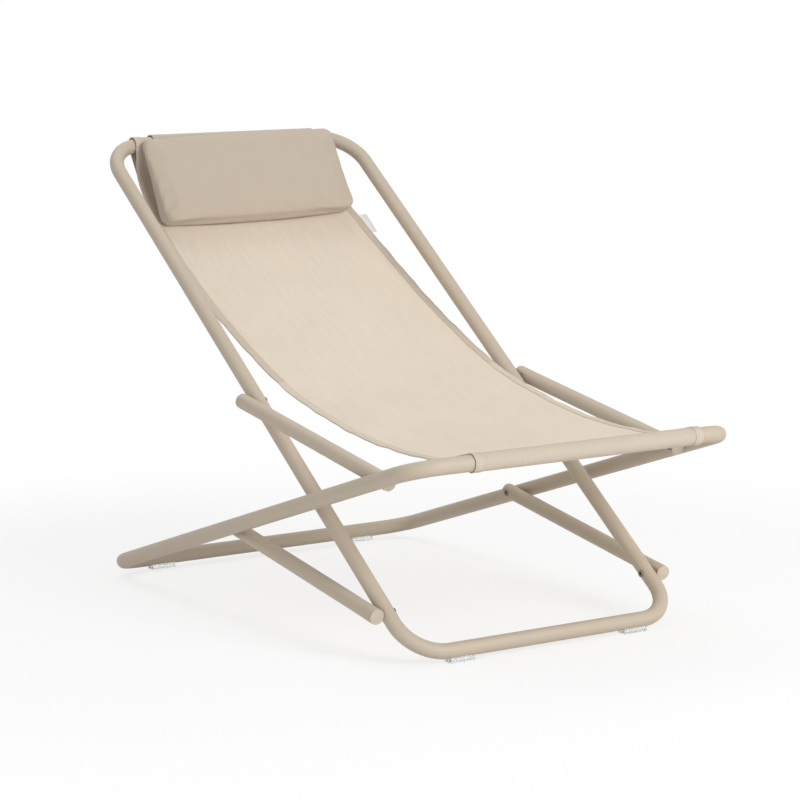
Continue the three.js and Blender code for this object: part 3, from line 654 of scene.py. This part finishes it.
# Sling.
# One length of woven outdoor mesh, light beige. A sleeve is sewn at each end round the frames' far bars, and it
# hangs between them in a long curve. It is made in three runs.
SLING_SHARES = (
    (0.029, 0.035), (0.057, 0.056), (0.112, 0.086), (0.22, 0.114), (0.362, 0.133),
    (0.529, 0.139), (0.651, 0.124), (0.775, 0.096), (0.903, 0.049), (0.961, 0.014),
)
CLOTH = 1.2 * MM
SLING_COLUMNS = 72
TOP_EASE = 1.2 * MM
BACK_INSIDE = BACK_WIDTH / 2 - BACK_TUBE / 2
LEFT_MARGIN, RIGHT_MARGIN = 42.5 * MM, 4.5 * MM
SLING_LEFT = LEFT_MARGIN - BACK_INSIDE
SLING_RIGHT = BACK_INSIDE - RIGHT_MARGIN
SLING_MIDDLE = (SLING_LEFT + SLING_RIGHT) / 2
TAPER, TAPER_LENGTH = 38 * MM, 350 * MM
BINDING, TAPE = 15 * MM, 0.8 * MM
TAIL, ROW_STEP = 16 * MM, 6 * MM
LAYER = CLOTH + 0.1 * MM
SAG, FLUTTER, FLUTTER_ZONE = 3 * MM, 0.9 * MM, 45 * MM
BEIGE = (0.71, 0.61, 0.495)
# The sleeves' darker taupe is painted shade on the sling's own mesh.
SLEEVE_SHADE_TAUPE = (0.525, 0.45, 0.362)

top = np.array((BACK_FLOOR + back_way * BACK_LENGTH).yz)
front = np.array((SEAT_FLOOR + seat_way * SEAT_LENGTH).yz)
span = front - top
under = np.array((-span[1], span[0]))
knots = np.array([top + span * a + under * b for a, b in SLING_SHARES])


def walk(line):
    """The length walked along a line at each of its points."""
    return np.concatenate([[0], np.cumsum(np.linalg.norm(np.diff(line, axis=0), axis=1))])


def at(values, gone, places):
    """What a line's values are at these places along its walk."""
    return np.array([np.interp(places, gone, column) for column in values.T]).T


def resampled(line, step):
    gone = walk(line)
    return at(line, gone, np.linspace(0, gone[-1], max(2, int(round(gone[-1] / step)) + 1)))


def smooth_line(points, step):
    """The uniform Catmull-Rom curve through the points, resampled at an even step."""
    padded = np.vstack([points[:1], points, points[-1:]])
    fine = []
    for i in range(len(points) - 1):
        p0, p1, p2, p3 = padded[i : i + 4]
        for t in np.linspace(0, 1, 60, endpoint=False):
            a = 2 * p1 + (p2 - p0) * t + (2 * p0 - 5 * p1 + 4 * p2 - p3) * t**2
            fine.append(0.5 * (a + (3 * p1 - p0 - 3 * p2 + p3) * t**3))
    fine.append(points[-1])
    return resampled(np.array(fine), step)


def arc(centre, radius, turns):
    return centre + radius * np.column_stack([np.cos(turns), np.sin(turns)])


def wrap(centre, radius, seam):
    """Round a bar, from the tangent that the seam lies on to the other one."""
    reach = seam - centre
    open_angle = acos(radius / np.linalg.norm(reach))
    first = atan2(reach[1], reach[0]) + open_angle
    return arc(centre, radius, first + np.linspace(0, 2 * pi - 2 * open_angle, 30))


def drawn_in(y):
    """How far the sling's edge on the sitter's left is drawn in at y, toward the top sleeve."""
    start = knots[0][0] - TAPER_LENGTH * cos(BACK_ANGLE)
    return TAPER * np.clip((y - start) / (knots[0][0] - start), 0, 1) ** 3


def unders(line):
    """The unit normals of a side-view line, toward its under side."""
    tangents = np.gradient(line, axis=0)
    tangents /= np.linalg.norm(tangents, axis=1)[:, None]
    return np.column_stack([-tangents[:, 1], tangents[:, 0]])


def cloth_group():
    """Woven mesh on the cloth's own map in metres: fine warp and weft, slubs along the warp and faint streaks."""
    group, given = new_group("woven_mesh", [
        ("Colour", "Color", (*BEIGE, 1)), ("Threads", "Float", 900.0), ("Relief", "Float", 0.4),
        ("Streaks", "Float", 0.05), ("Cloth", "Vector", None),
    ])
    cloth = given["Cloth"]
    split = node(group, "SeparateXYZ", {0: cloth}, out=None).outputs
    weave = []
    for axis in ("X", "Y"):
        phase = maths(group, "MULTIPLY", split[axis], given["Threads"])
        wave = maths(group, "SINE", maths(group, "MULTIPLY", phase, 2 * pi))
        weave.append(maths(group, "ABSOLUTE", wave))
    threads = maths(group, "MULTIPLY", *weave)
    along_warp = node(group, "Mapping", {"Vector": cloth, "Scale": (420, 22, 1)})
    slanted = node(group, "Mapping", {"Vector": cloth, "Rotation": (0, 0, 0.12), "Scale": (130, 14, 1)})
    streak = noise(group, along_warp, 1, 3)
    long_streak = noise(group, slanted, 1, 2)
    patch = noise(group, cloth, 5, 3)
    mixed = maths(group, "ADD", maths(group, "ADD", streak, long_streak), patch)
    tint = maths(group, "MULTIPLY", ranged(group, mixed, 1.1, 1.9, -0.5, 0.5), given["Streaks"])
    gain = maths(group, "ADD", tint, ranged(group, threads, 0.0, 0.6, 0.93, 1.02))
    rough = ranged(group, threads, 0.0, 1.0, 0.86, 0.74)
    return give(group, tinted(group, given["Colour"], gain), rough, given["Relief"], 0.0002, threads)


woven_mesh = cloth_group()


def woven(name, colour, threads, relief, streaks, place=unrolled, **shader):
    values = {"Colour": (*colour, 1), "Threads": threads, "Relief": relief, "Streaks": streaks}
    return material_of(name, woven_mesh, values, place, **shader)


sling_mesh = woven("sling_mesh", BEIGE, 900, 0.4, 0.09, sheen_weight=0.15, sheen_roughness=0.5)
# The sleeves are the sling's own mesh; their darker taupe is painted shade round the bars.
shaded_sleeve_mesh = woven("shaded_sleeve_mesh", SLEEVE_SHADE_TAUPE, 900, 0.4, 0.05, sheen_weight=0.1)

sling_line = smooth_line(knots, ROW_STEP)
top_centre = top - np.array(back_way.yz) * TOP_EASE
top_inner = BACK_TUBE / 2 + TOUCH + TOP_EASE
front_inner = SEAT_TUBE / 2 + TOUCH
cloth_left = SLING_LEFT + TAPE + TOUCH
cloth_right = SLING_RIGHT - TAPE - TOUCH
tails = sling_line + unders(sling_line) * LAYER
tail_rows = int(TAIL / ROW_STEP) + 2
top_tail, front_tail = tails[:tail_rows][::-1], tails[-tail_rows:][::-1]
top_loop = wrap(top_centre, top_inner + CLOTH / 2, knots[0])
front_loop = wrap(front, front_inner + CLOTH / 2, knots[-1])
whole_line = np.vstack([top_tail, top_loop, sling_line, front_loop, front_tail])
whole_normals = unders(whole_line)
first = len(top_tail) + len(top_loop)
last = first + len(sling_line) - 1
last_row = len(whole_line) - 1
fold_y = (strut_rears["upper"].y + pivots["seat_upper"][0].y) / 2
seat_split = first + int(np.argmin(np.abs(sling_line[:, 1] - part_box("sling_back")[0][2])))
front_split = first + int(np.argmin(np.abs(sling_line[:, 0] - fold_y)))
walked = walk(whole_line)
whole_right = cloth_right - drawn_in(whole_line[:, 0])
whole_right[:first] = cloth_right - TAPER


def hang(x, row):
    """How far the cloth lies under its line: a slight sag between the edges, and edges that flutter a little."""
    s = walked[row]
    share = min(max((s - walked[first]) / (walked[last] - walked[first]), 0), 1)
    edge = min(x - SLING_LEFT, whole_right[row] - x)
    across = (x - SLING_LEFT) / (whole_right[row] - SLING_LEFT)
    sag = SAG * 4 * across * (1 - across) * sin(pi * share) ** 2
    near = min(max(1 - edge / FLUTTER_ZONE, 0), 1)
    side = 1 if x > SLING_MIDDLE else 0
    wave = 0.6 * sin(s * 73 + side * 1.9) + 0.4 * sin(s * 131 + side * 4.1)
    return sag + FLUTTER * near * near * wave * min(1, 12 * share * (1 - share))


def laid(name, columns, rows, place, thickness):
    """A sheet of cloth with its thickness. For a share across it and a row, place gives the spot and where that
    is on the cloth's own map."""
    alone()
    bpy.ops.mesh.primitive_grid_add(x_subdivisions=columns, y_subdivisions=rows, size=1)
    cloth = bpy.context.object
    cloth.name = name
    uv = {}
    for v in cloth.data.vertices:
        v.co, uv[v.index] = place(v.co.x + 0.5, round((v.co.y + 0.5) * rows))
    layer = cloth.data.uv_layers.active
    for loop in cloth.data.loops:
        layer.data[loop.index].uv = uv[loop.vertex_index]
    applied(cloth, "SOLIDIFY", thickness=thickness, offset=0)
    return cloth


def sling_run(name, start, end):
    """A run of the sling from one row of the whole line to another."""

    def place(share, row):
        row += start
        x = cloth_left + (whole_right[row] - cloth_left) * share
        y, z = whole_line[row] + whole_normals[row] * hang(x, row)
        return (x, y, z), (x, walked[row])

    run = laid(name, SLING_COLUMNS, end - start, place, CLOTH)
    crisp(50)
    return run


sling_back = sling_run("sling_back_run", 0, seat_split)
sling_rear = sling_run("sling_seat_rear_run", seat_split, front_split)
sling_front = sling_run("sling_seat_front_run", front_split, last_row)
settle(sling_back, sling_mesh, "back_frame", "sling_mesh", "sling_back")
settle(sling_rear, sling_mesh, None, "sling_mesh")
settle(sling_front, sling_mesh, None, "sling_mesh", "sling_seat")
# Faces round each bar take the sleeve's painted shade.
for run, bar, reach in ((sling_back, top_centre, top_inner), (sling_front, front, front_inner)):
    run.data.materials.append(shaded_sleeve_mesh)
    for face in run.data.polygons:
        if dist(face.center[1:], bar) < reach + CLOTH + MM:
            face.material_index = 1
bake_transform(sling_rear)
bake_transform(sling_front)


# Sling hems.
# A tape is folded round each long edge of the sling and sewn through with two rows of stitches. It is beige along
# the seat; its darker taupe along the back and at the sleeves is painted shade. At the sleeves it lies on the
# outside only, up to the cloth's raw end.
# The taupe of the back and sleeve hems is painted shade; the seat's beige is the tape's own colour.
HEM_SHADE_TAUPE, HEM_BEIGE, SLEEVE_HEM_SHADE = (0.575, 0.49, 0.388), (0.655, 0.563, 0.456), (0.56, 0.48, 0.385)
STITCH_PITCH, STITCH_LENGTH, STITCH_WIDTH = 3.6 * MM, 2.6 * MM, 0.55 * MM
STITCH_ROWS = 0.8 * BINDING, 0.28 * BINDING
WEAVE_STEP = 0.9 * MM
hem_tape, seat_tape, sleeve_hem = (
    woven(name, colour, 1100, 0.6, streaks, sheen_weight=0.1)
    for name, colour, streaks in (
        ("hem_tape", HEM_SHADE_TAUPE, 0.08), ("seat_tape", HEM_BEIGE, 0.08), ("sleeve_hem", SLEEVE_HEM_SHADE, 0.06),
    )
)
thread = material_of("sewing_thread", moulded_plastic, {"Colour": (0.54, 0.47, 0.38, 1), "Base Roughness": 0.7})
tape_out = CLOTH / 2 + TOUCH / 2 + TAPE / 2

stitch = cylinder(4, STITCH_WIDTH / 2, STITCH_LENGTH * 0.6)
mode("EDIT")
for way in (-1, 1):
    pick(stitch, "faces", lambda face: face.normal.z * way > 0.9)
    extrude(0, 0, way * STITCH_LENGTH * 0.2)
    bpy.ops.transform.resize(value=(0.4, 0.4, 1))
mode("OBJECT")
stitch_spots = np.array([tuple(v.co) for v in stitch.data.vertices])
stitch_faces = [tuple(f.vertices) for f in stitch.data.polygons]
bpy.data.objects.remove(stitch, do_unlink=True)


def linked(name, data):
    piece = bpy.data.objects.new(name, data)
    bpy.context.collection.objects.link(piece)
    alone(piece)
    return piece


def sewn(name, rows):
    """Stitches along rows of (points, outward normals), each a copy of the one stitch."""
    spots, faces = [], []
    for points, normals in rows:
        points, normals = np.array(points), np.array(normals)
        gone = walk(points)
        for s in np.arange(STITCH_PITCH / 2, gone[-1], STITCH_PITCH):
            way = at(points, gone, min(s + MM, gone[-1])) - at(points, gone, max(s - MM, 0))
            way /= np.linalg.norm(way)
            out = at(normals, gone, s)
            out -= way * out.dot(way)
            out /= np.linalg.norm(out)
            turned = stitch_spots @ np.array([np.cross(out, way), out * 0.7, way])
            before = len(spots) * len(stitch_spots)
            spots.append(at(points, gone, s) + turned)
            faces += [tuple(before + i for i in face) for face in stitch_faces]
    mesh = bpy.data.meshes.new(name)
    mesh.from_pydata(np.vstack(spots).tolist(), [], faces)
    mesh.validate()
    row = linked(name, mesh)
    mode("EDIT")
    bpy.ops.mesh.select_all(action="SELECT")
    bpy.ops.mesh.normals_make_consistent(inside=False)
    mode("OBJECT")
    mesh.materials.append(thread)
    return row


def joined(piece, *others):
    """Others joined into the piece, which keeps its name and its materials first."""
    alone(piece)
    for other in others:
        other.select_set(True)
    bpy.ops.object.join()
    return piece


def hem_section(outside_only):
    """Across the tape, from its inner edge on top round the cloth's edge to its inner edge below: distance in
    from the edge, height above the cloth's middle. The stitches draw it in."""
    shares = (1, 0.93, 0.86, 0.8, 0.74, 0.6, 0.45, 0.36, 0.28, 0.22, 0.12)
    sunk = {0.86: 0.1, 0.8: 0.22, 0.74: 0.1, 0.36: 0.1, 0.28: 0.22, 0.22: 0.1}
    top_side = [(share * BINDING, tape_out - sunk.get(share, 0) * MM) for share in shares]
    if outside_only:
        return top_side + [(0.4 * MM, tape_out), (0.2 * MM, tape_out - 0.3 * MM)]
    turn = [(tape_out * (1 - sin(a)), tape_out * cos(a)) for a in np.linspace(0, pi, 7)]
    return top_side + turn + [(u, -v) for u, v in reversed(top_side)]


def hem(name, side, start, end, look, outside_only=False):
    """One run of a hem: its section carried along the cloth's edge, then its stitches."""
    section = hem_section(outside_only)

    def spot(row, u, v):
        edge = SLING_LEFT if side < 0 else whole_right[row] + TAPE + TOUCH
        x = edge - side * u
        y, z = whole_line[row] + whole_normals[row] * (hang(x, row) - v)
        return x, y, z

    def place(share, row):
        i = round(share * (len(section) - 1))
        return spot(start + row, *section[i]), (i * WEAVE_STEP, walked[start + row])

    tape = laid(name, len(section) - 1, end - start, place, TAPE * 0.8)
    crisp(60)
    dress(tape, look)
    rows = range(start, end + 1)
    lines = []
    for u in STITCH_ROWS:
        for face in (1,) if outside_only else (1, -1):
            lift = face * (tape_out + TAPE * 0.4 - 0.2 * MM)
            points = [spot(row, u, lift) for row in rows]
            lines.append((points, [(0, *(-face * whole_normals[row])) for row in rows]))
    return joined(tape, sewn(name + "_stitches", lines))


hem_start, hem_end = first + 1, last - 1
hems = {"back": [], "rear": [], "front": []}
for hand, side in hands.items():
    for run, start, end, cad in (
        ("back", hem_start, seat_split, f"binding_back_{hand}"),
        ("rear", seat_split, front_split, None),
        ("front", front_split, hem_end, f"binding_seat_{hand}"),
    ):
        # The back runs take the taupe painted shade, the seat runs the beige.
        tape = hem(f"hem_{run}_{hand}", side, start, end, hem_tape if run == "back" else seat_tape)
        settle(tape, None, "back_frame" if run == "back" else None, "hem_tape", *([cad] if cad else []))
        if run == "rear":
            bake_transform(tape)
        if run == "front":
            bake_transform(tape)
        hems[run].append(tape)
    # The sleeve hems take painted shade too.
    for run, end, rows, look in (
        ("back", "top", (len(top_tail) + 1, hem_start), hem_tape),
        ("front", "front", (hem_end, last_row - len(front_tail)), sleeve_hem),
    ):
        tape = hem(f"sleeve_hem_{end}_{hand}", side, *rows, look, outside_only=True)
        settle(tape, None, "back_frame" if run == "back" else "seat_frame", "hem_tape")
        hems[run].append(tape)


# Sleeve seams.
# Two rows of lockstitch across the cloth close each sleeve round its bar. The thread goes through the sling and
# its turned-in tail, so it shows on both faces.
def seam(name, rows):
    lines = []
    for face in (1, -1):
        lift = face * (CLOTH / 2 + 0.05 * MM) - (LAYER if face < 0 else 0)
        for row in rows:
            xs = np.linspace(cloth_left + BINDING, whole_right[row] - BINDING, 80)
            points = [(x, *(whole_line[row] + whole_normals[row] * (hang(x, row) - lift))) for x in xs]
            lines.append((points, [(0, *(-face * whole_normals[row]))] * len(xs)))
    return sewn(name, lines)


top_seam = seam("top_sleeve_seam", (first + 1, first + 2))
front_seam = seam("front_sleeve_seam", (last - 2, last - 1))
settle(top_seam, None, "back_frame", "hem_tape")
settle(front_seam, None, "seat_frame", "hem_tape")


# Side tag.
# A small blank label of folded white tape, caught in the right-hand hem below the pillow. It curls a little away
# from the cloth at its free side.
TAG_CURL, TAG_STEP, TAG_MARGIN = 2.2 * MM, 2 * MM, 4 * MM
TAG_THICKNESS, TAG_EDGE = 0.7 * MM, 0.25 * MM
tag_tape = woven("tag_tape", (0.95, 0.945, 0.93), 1400, 0.3, 0.03)
tag_low, tag_high = (Vector(corner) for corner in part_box("side_tag"))
tag_rows = [
    row
    for row in range(first, seat_split)
    if tag_low.y - TAG_MARGIN < whole_line[row][0] < tag_high.y + TAG_MARGIN
]
tag_line = resampled(whole_line[tag_rows], TAG_STEP)
tag_normals = unders(tag_line)


def on_tag(share, row):
    x = tag_low.x + (tag_high.x - tag_low.x) * share
    curl = TAG_CURL * share * share * sin(pi * (0.15 + 0.7 * row / (len(tag_line) - 1)))
    y, z = tag_line[row] - tag_normals[row] * curl
    return (x, y, z), (x, row * TAG_STEP)


tag = laid("blank_side_tag", 10, len(tag_line) - 1, on_tag, TAG_THICKNESS)
applied(tag, "BEVEL", width=TAG_EDGE, segments=2)
crisp(40)
settle(tag, tag_tape, "back_frame", "tag_tape", "side_tag")


# Headrest pillow.
# A box cushion of taupe outdoor cloth, stuffed with fibre, thicker at its foot than at its head. Its front and
# back panels are sewn to a gusset all round, so the seams hold still while the panels swell.
PILLOW_WIDTH, PILLOW_HEIGHT = 400 * MM, 162 * MM
PILLOW_FOOT, PILLOW_HEAD = 37 * MM, 22 * MM
PILLOW_CORNER, PILLOW_WAIST, PILLOW_BOW = 16 * MM, 2 * MM, 5 * MM
PILLOW_RISE = 3 * MM
PILLOW_X = SLING_LEFT + 6.5 * MM + PILLOW_WIDTH / 2
PILLOW_LEAN, PILLOW_ROLL = radians(65.09), radians(1.1)
BAND = 1.5 * MM
BAND_RADIUS = BACK_TUBE / 2 + 2 * TOP_EASE + CLOTH + 2 * TOUCH + BAND / 2
SWELL = 4 * MM
FRONT_ROLL, BACK_ROLL = 10 * MM, 4 * MM
SEAM_INSET, SEAM_HOLD = 1.5 * MM, 4.5 * MM
CLOTH_CELL = 4 * MM
WELT, WELT_LEVEL = 0.75 * MM, 2 * MM
PILLOW_TAUPE = (0.50, 0.42, 0.335)
HALF_X, HALF_Y = PILLOW_WIDTH / 2, PILLOW_HEIGHT / 2


def pillow_depth(y):
    """The cushion's sewn depth at a height on its face."""
    return PILLOW_FOOT + (PILLOW_HEAD - PILLOW_FOOT) * min(max(y / PILLOW_HEIGHT + 0.5, 0), 1)


alone()
bpy.ops.mesh.primitive_cube_add(size=1, location=(0, 0, 0.5), scale=(PILLOW_WIDTH, PILLOW_HEIGHT, 1))
pillow = fresh("headrest_cushion")
mode("EDIT")
bpy.ops.mesh.select_mode(type="EDGE")
pick(pillow, "edges", lambda edge: abs(edge.verts[0].co.z - edge.verts[1].co.z) > 0.5)
bpy.ops.mesh.bevel(offset=PILLOW_CORNER, segments=8)
shape = bmesh.from_edit_mesh(pillow.data)
for vert in shape.verts:
    vert.co.z = pillow_depth(vert.co.y) - SWELL * 0.8 if vert.co.z > 0.5 else SWELL * 0.2
bmesh.update_edit_mesh(pillow.data)
for way, roll in ((1, FRONT_ROLL), (-1, BACK_ROLL)):
    bpy.ops.mesh.select_mode(type="FACE")
    pick(pillow, "faces", lambda face: len(face.verts) > 30 and face.normal.z * way > 0)
    bpy.ops.mesh.region_to_loop()
    bpy.ops.mesh.bevel(offset=roll, segments=6)
bpy.ops.mesh.select_mode(type="VERT")
mode("OBJECT")
applied(pillow, "REMESH", mode="VOXEL", voxel_size=CLOTH_CELL)
applied(pillow, "SMOOTH", factor=0.5, iterations=4)


def seam_at(co):
    """How close a point is to the back seam or, at half hold, to the front one: from 1 on it to 0 some way off."""
    dx = max(abs(co.x) - (HALF_X - PILLOW_CORNER), 0)
    dy = max(abs(co.y) - (HALF_Y - PILLOW_CORNER), 0)
    edge = abs(hypot(dx, dy) - (PILLOW_CORNER - SEAM_INSET)) if dx or dy else PILLOW_CORNER
    back = hypot(edge, co.z - BACK_ROLL / 2)
    front_seam_off = hypot(edge, co.z - (pillow_depth(co.y) - FRONT_ROLL / 2 - SWELL))
    return max(0, 1 - back / SEAM_HOLD, 0.5 - front_seam_off / (2 * SEAM_HOLD))


def bowed(x, y):
    """The outline with its ends drawn in a little between the corners, and its head and foot swollen."""
    across, up = min(abs(x) / HALF_X, 1), min(abs(y) / HALF_Y, 1)
    waist = 1 - PILLOW_WAIST / HALF_X * across * (1 - up * up)
    return x * waist, y * (1 + PILLOW_BOW / HALF_Y * up * (1 - across * across))


held = pillow.vertex_groups.new(name="sewn")
for v in pillow.data.vertices:
    v.co.x, v.co.y = bowed(v.co.x, v.co.y)
    near = seam_at(v.co)
    if near > 0:
        held.add([v.index], near, "REPLACE")
before = [v.co.copy() for v in pillow.data.vertices]
cloth = pillow.modifiers.new("stuffing", "CLOTH")
for setting, value in {
    "quality": 6, "mass": 0.25, "tension_stiffness": 12, "compression_stiffness": 12, "shear_stiffness": 6,
    "bending_stiffness": 0.6, "use_pressure": True, "uniform_pressure_force": 4,
    "vertex_group_mass": held.name,
}.items():
    setattr(cloth.settings, setting, value)
cloth.settings.effector_weights.gravity = 0
for number in range(1, 21):
    scene.frame_set(number)
alone(pillow)
bpy.ops.object.modifier_apply(modifier=cloth.name)
for v, start in zip(pillow.data.vertices, before):
    moved = v.co - start
    if moved.length > SWELL:
        v.co = start + moved * (SWELL / moved.length)
scene.frame_set(1)
pillow.vertex_groups.clear()
applied(pillow, "SUBSURF", levels=1, render_levels=1)
bpy.ops.object.shade_smooth()


def welt(name, level):
    """A thin ridge of seam allowance round the cushion at a level of its depth, laid on its surface."""
    skin = BVHTree.FromObject(pillow, bpy.context.evaluated_depsgraph_get())
    path = []
    for cx, cy, first_turn in ((1, 1, 0), (-1, 1, 90), (-1, -1, 180), (1, -1, 270)):
        corner = np.array((cx * (HALF_X - PILLOW_CORNER), cy * (HALF_Y - PILLOW_CORNER)))
        path += [*arc(corner, PILLOW_CORNER, np.radians(first_turn + np.linspace(0, 90, 9)))]
    outline = []
    for a, b in zip(path, path[1:] + path[:1]):
        count = max(1, round(dist(a, b) / CLOTH_CELL))
        outline += [a + (b - a) * i / count for i in range(count)]
    curve = bpy.data.curves.new(name, "CURVE")
    curve.dimensions = "3D"
    curve.bevel_depth = WELT
    curve.bevel_resolution = 2
    ridge = curve.splines.new("POLY")
    ridge.points.add(len(outline) - 1)
    ridge.use_cyclic_u = True
    for point, (x, y) in zip(ridge.points, outline):
        spot, out, _, _ = skin.find_nearest(Vector((*bowed(x, y), level)))
        point.co = (*(spot + out * 0.15 * MM), 1)
    linked(name, curve)
    bpy.ops.object.convert(target="MESH")
    bpy.ops.object.shade_smooth()
    return bpy.context.object


def over_cushion(tree):
    """The cushion's own place, seen square to its face. Its depth shifts both ways of the weave, so that the
    gusset is woven too."""
    own = own_place(tree)
    face_on = node(tree, "Mapping", {"Vector": own, "Rotation": (-PILLOW_LEAN, 0, 0)})
    apart = node(tree, "SeparateXYZ", {0: face_on}, out=None).outputs
    shift = maths(tree, "MULTIPLY", apart["Z"], 0.7)
    weft, warp = (maths(tree, "ADD", apart[axis], shift) for axis in ("X", "Y"))
    return node(tree, "CombineXYZ", {0: weft, 1: warp})


PILLOW_WEAVE = (PILLOW_TAUPE, 1250, 0.35, 0.03)
pillow_cloth = woven("pillow_cloth", *PILLOW_WEAVE, over_cushion, sheen_weight=0.2, sheen_roughness=0.5)

for v in pillow.data.vertices:
    v.co.z = max(v.co.z, 0.2 * MM)
joined(pillow, welt("back_welt", WELT_LEVEL))
lean_way = np.array([cos(PILLOW_LEAN), sin(PILLOW_LEAN)])
lean_out = np.array([-lean_way[1], lean_way[0]])
pillow_middle = top + lean_out * (BAND_RADIUS + BAND / 2 + TOUCH) + lean_way * (PILLOW_RISE - PILLOW_HEIGHT / 2)
pillow.rotation_euler = (PILLOW_LEAN, 0, 0)
pillow.rotation_euler.rotate_axis("Z", PILLOW_ROLL)
pillow.location = (PILLOW_X, *pillow_middle)
settle(pillow, pillow_cloth, "headrest", "pillow_cloth", "headrest_pillow")
fine_line = resampled(sling_line[: len(sling_line) // 3], MM)
fine_normals = unders(fine_line)
for v in pillow.data.vertices:
    away = np.array([v.co.y, v.co.z]) - fine_line
    nearest = int(np.argmin((away**2).sum(axis=1)))
    under_by = away[nearest].dot(fine_normals[nearest]) + CLOTH / 2 + 0.2 * MM
    if under_by > 0 and 0 < nearest < len(fine_line) - 1:
        v.co.y -= fine_normals[nearest][0] * under_by
        v.co.z -= fine_normals[nearest][1] * under_by


# Headrest band.
# A flap of the pillow's own cloth, sewn to its back, hangs over the top bar. A steel rod in a hem pocket at its
# end keeps the pillow where it is put.
BAND_INSET, BAND_DROP = 31 * MM, 90 * MM
WEIGHT = 10 * MM
BAND_RIPPLE = 0.8 * MM
band_low, band_high = PILLOW_X - PILLOW_WIDTH / 2 + BAND_INSET, PILLOW_X + PILLOW_WIDTH / 2 - BAND_INSET
over = arc(top, BAND_RADIUS, np.linspace(pi, 0, 25))
drop = [top + np.array([BAND_RADIUS, -z]) for z in np.linspace(4 * MM, BAND_DROP, 22)]
pocket = WEIGHT / 2 + TOUCH + BAND / 2
weight_at = top + np.array([BAND_RADIUS + pocket, -BAND_DROP])
turned = arc(weight_at, pocket, np.linspace(pi * 1.08, pi * 2.72, 20))
hemmed = [top + np.array([BAND_RADIUS + BAND + 0.1 * MM, z - BAND_DROP]) for z in (9 * MM, 13 * MM, 17 * MM)]
band_line = np.vstack([over, drop, turned, hemmed])
band_walk = walk(band_line)
still = len(over) + len(drop) - 6


def on_band(share, row):
    x = band_low + (band_high - band_low) * share
    loose = max(0, min(1, (row - len(over)) / 10)) if row < still else 0
    y, z = band_line[row]
    return (x, y + loose * BAND_RIPPLE * (1 + sin(x * 60 + z * 20)), z), (x, band_walk[row])


band = laid("headrest_hanging_band", 48, len(band_line) - 1, on_band, BAND)
crisp(50)
dress(band, woven("band_cloth", *PILLOW_WEAVE, sheen_weight=0.2, sheen_roughness=0.5))
stitch_z = top[1] - (BAND_DROP - 12 * MM)
stitch_xs = np.linspace(band_low + 3 * MM, band_high - 3 * MM, 60)
band_rows = []
for way, layers in ((1, 1.5), (-1, 0.5)):
    y = top[0] + BAND_RADIUS + way * (BAND * layers + 0.1 * MM)
    band_rows.append(([(x, y, stitch_z) for x in stitch_xs], [(0, way, 0)] * len(stitch_xs)))
joined(band, sewn("band_stitches", band_rows))
settle(band, None, "headrest", "pillow_cloth", "headrest_band")
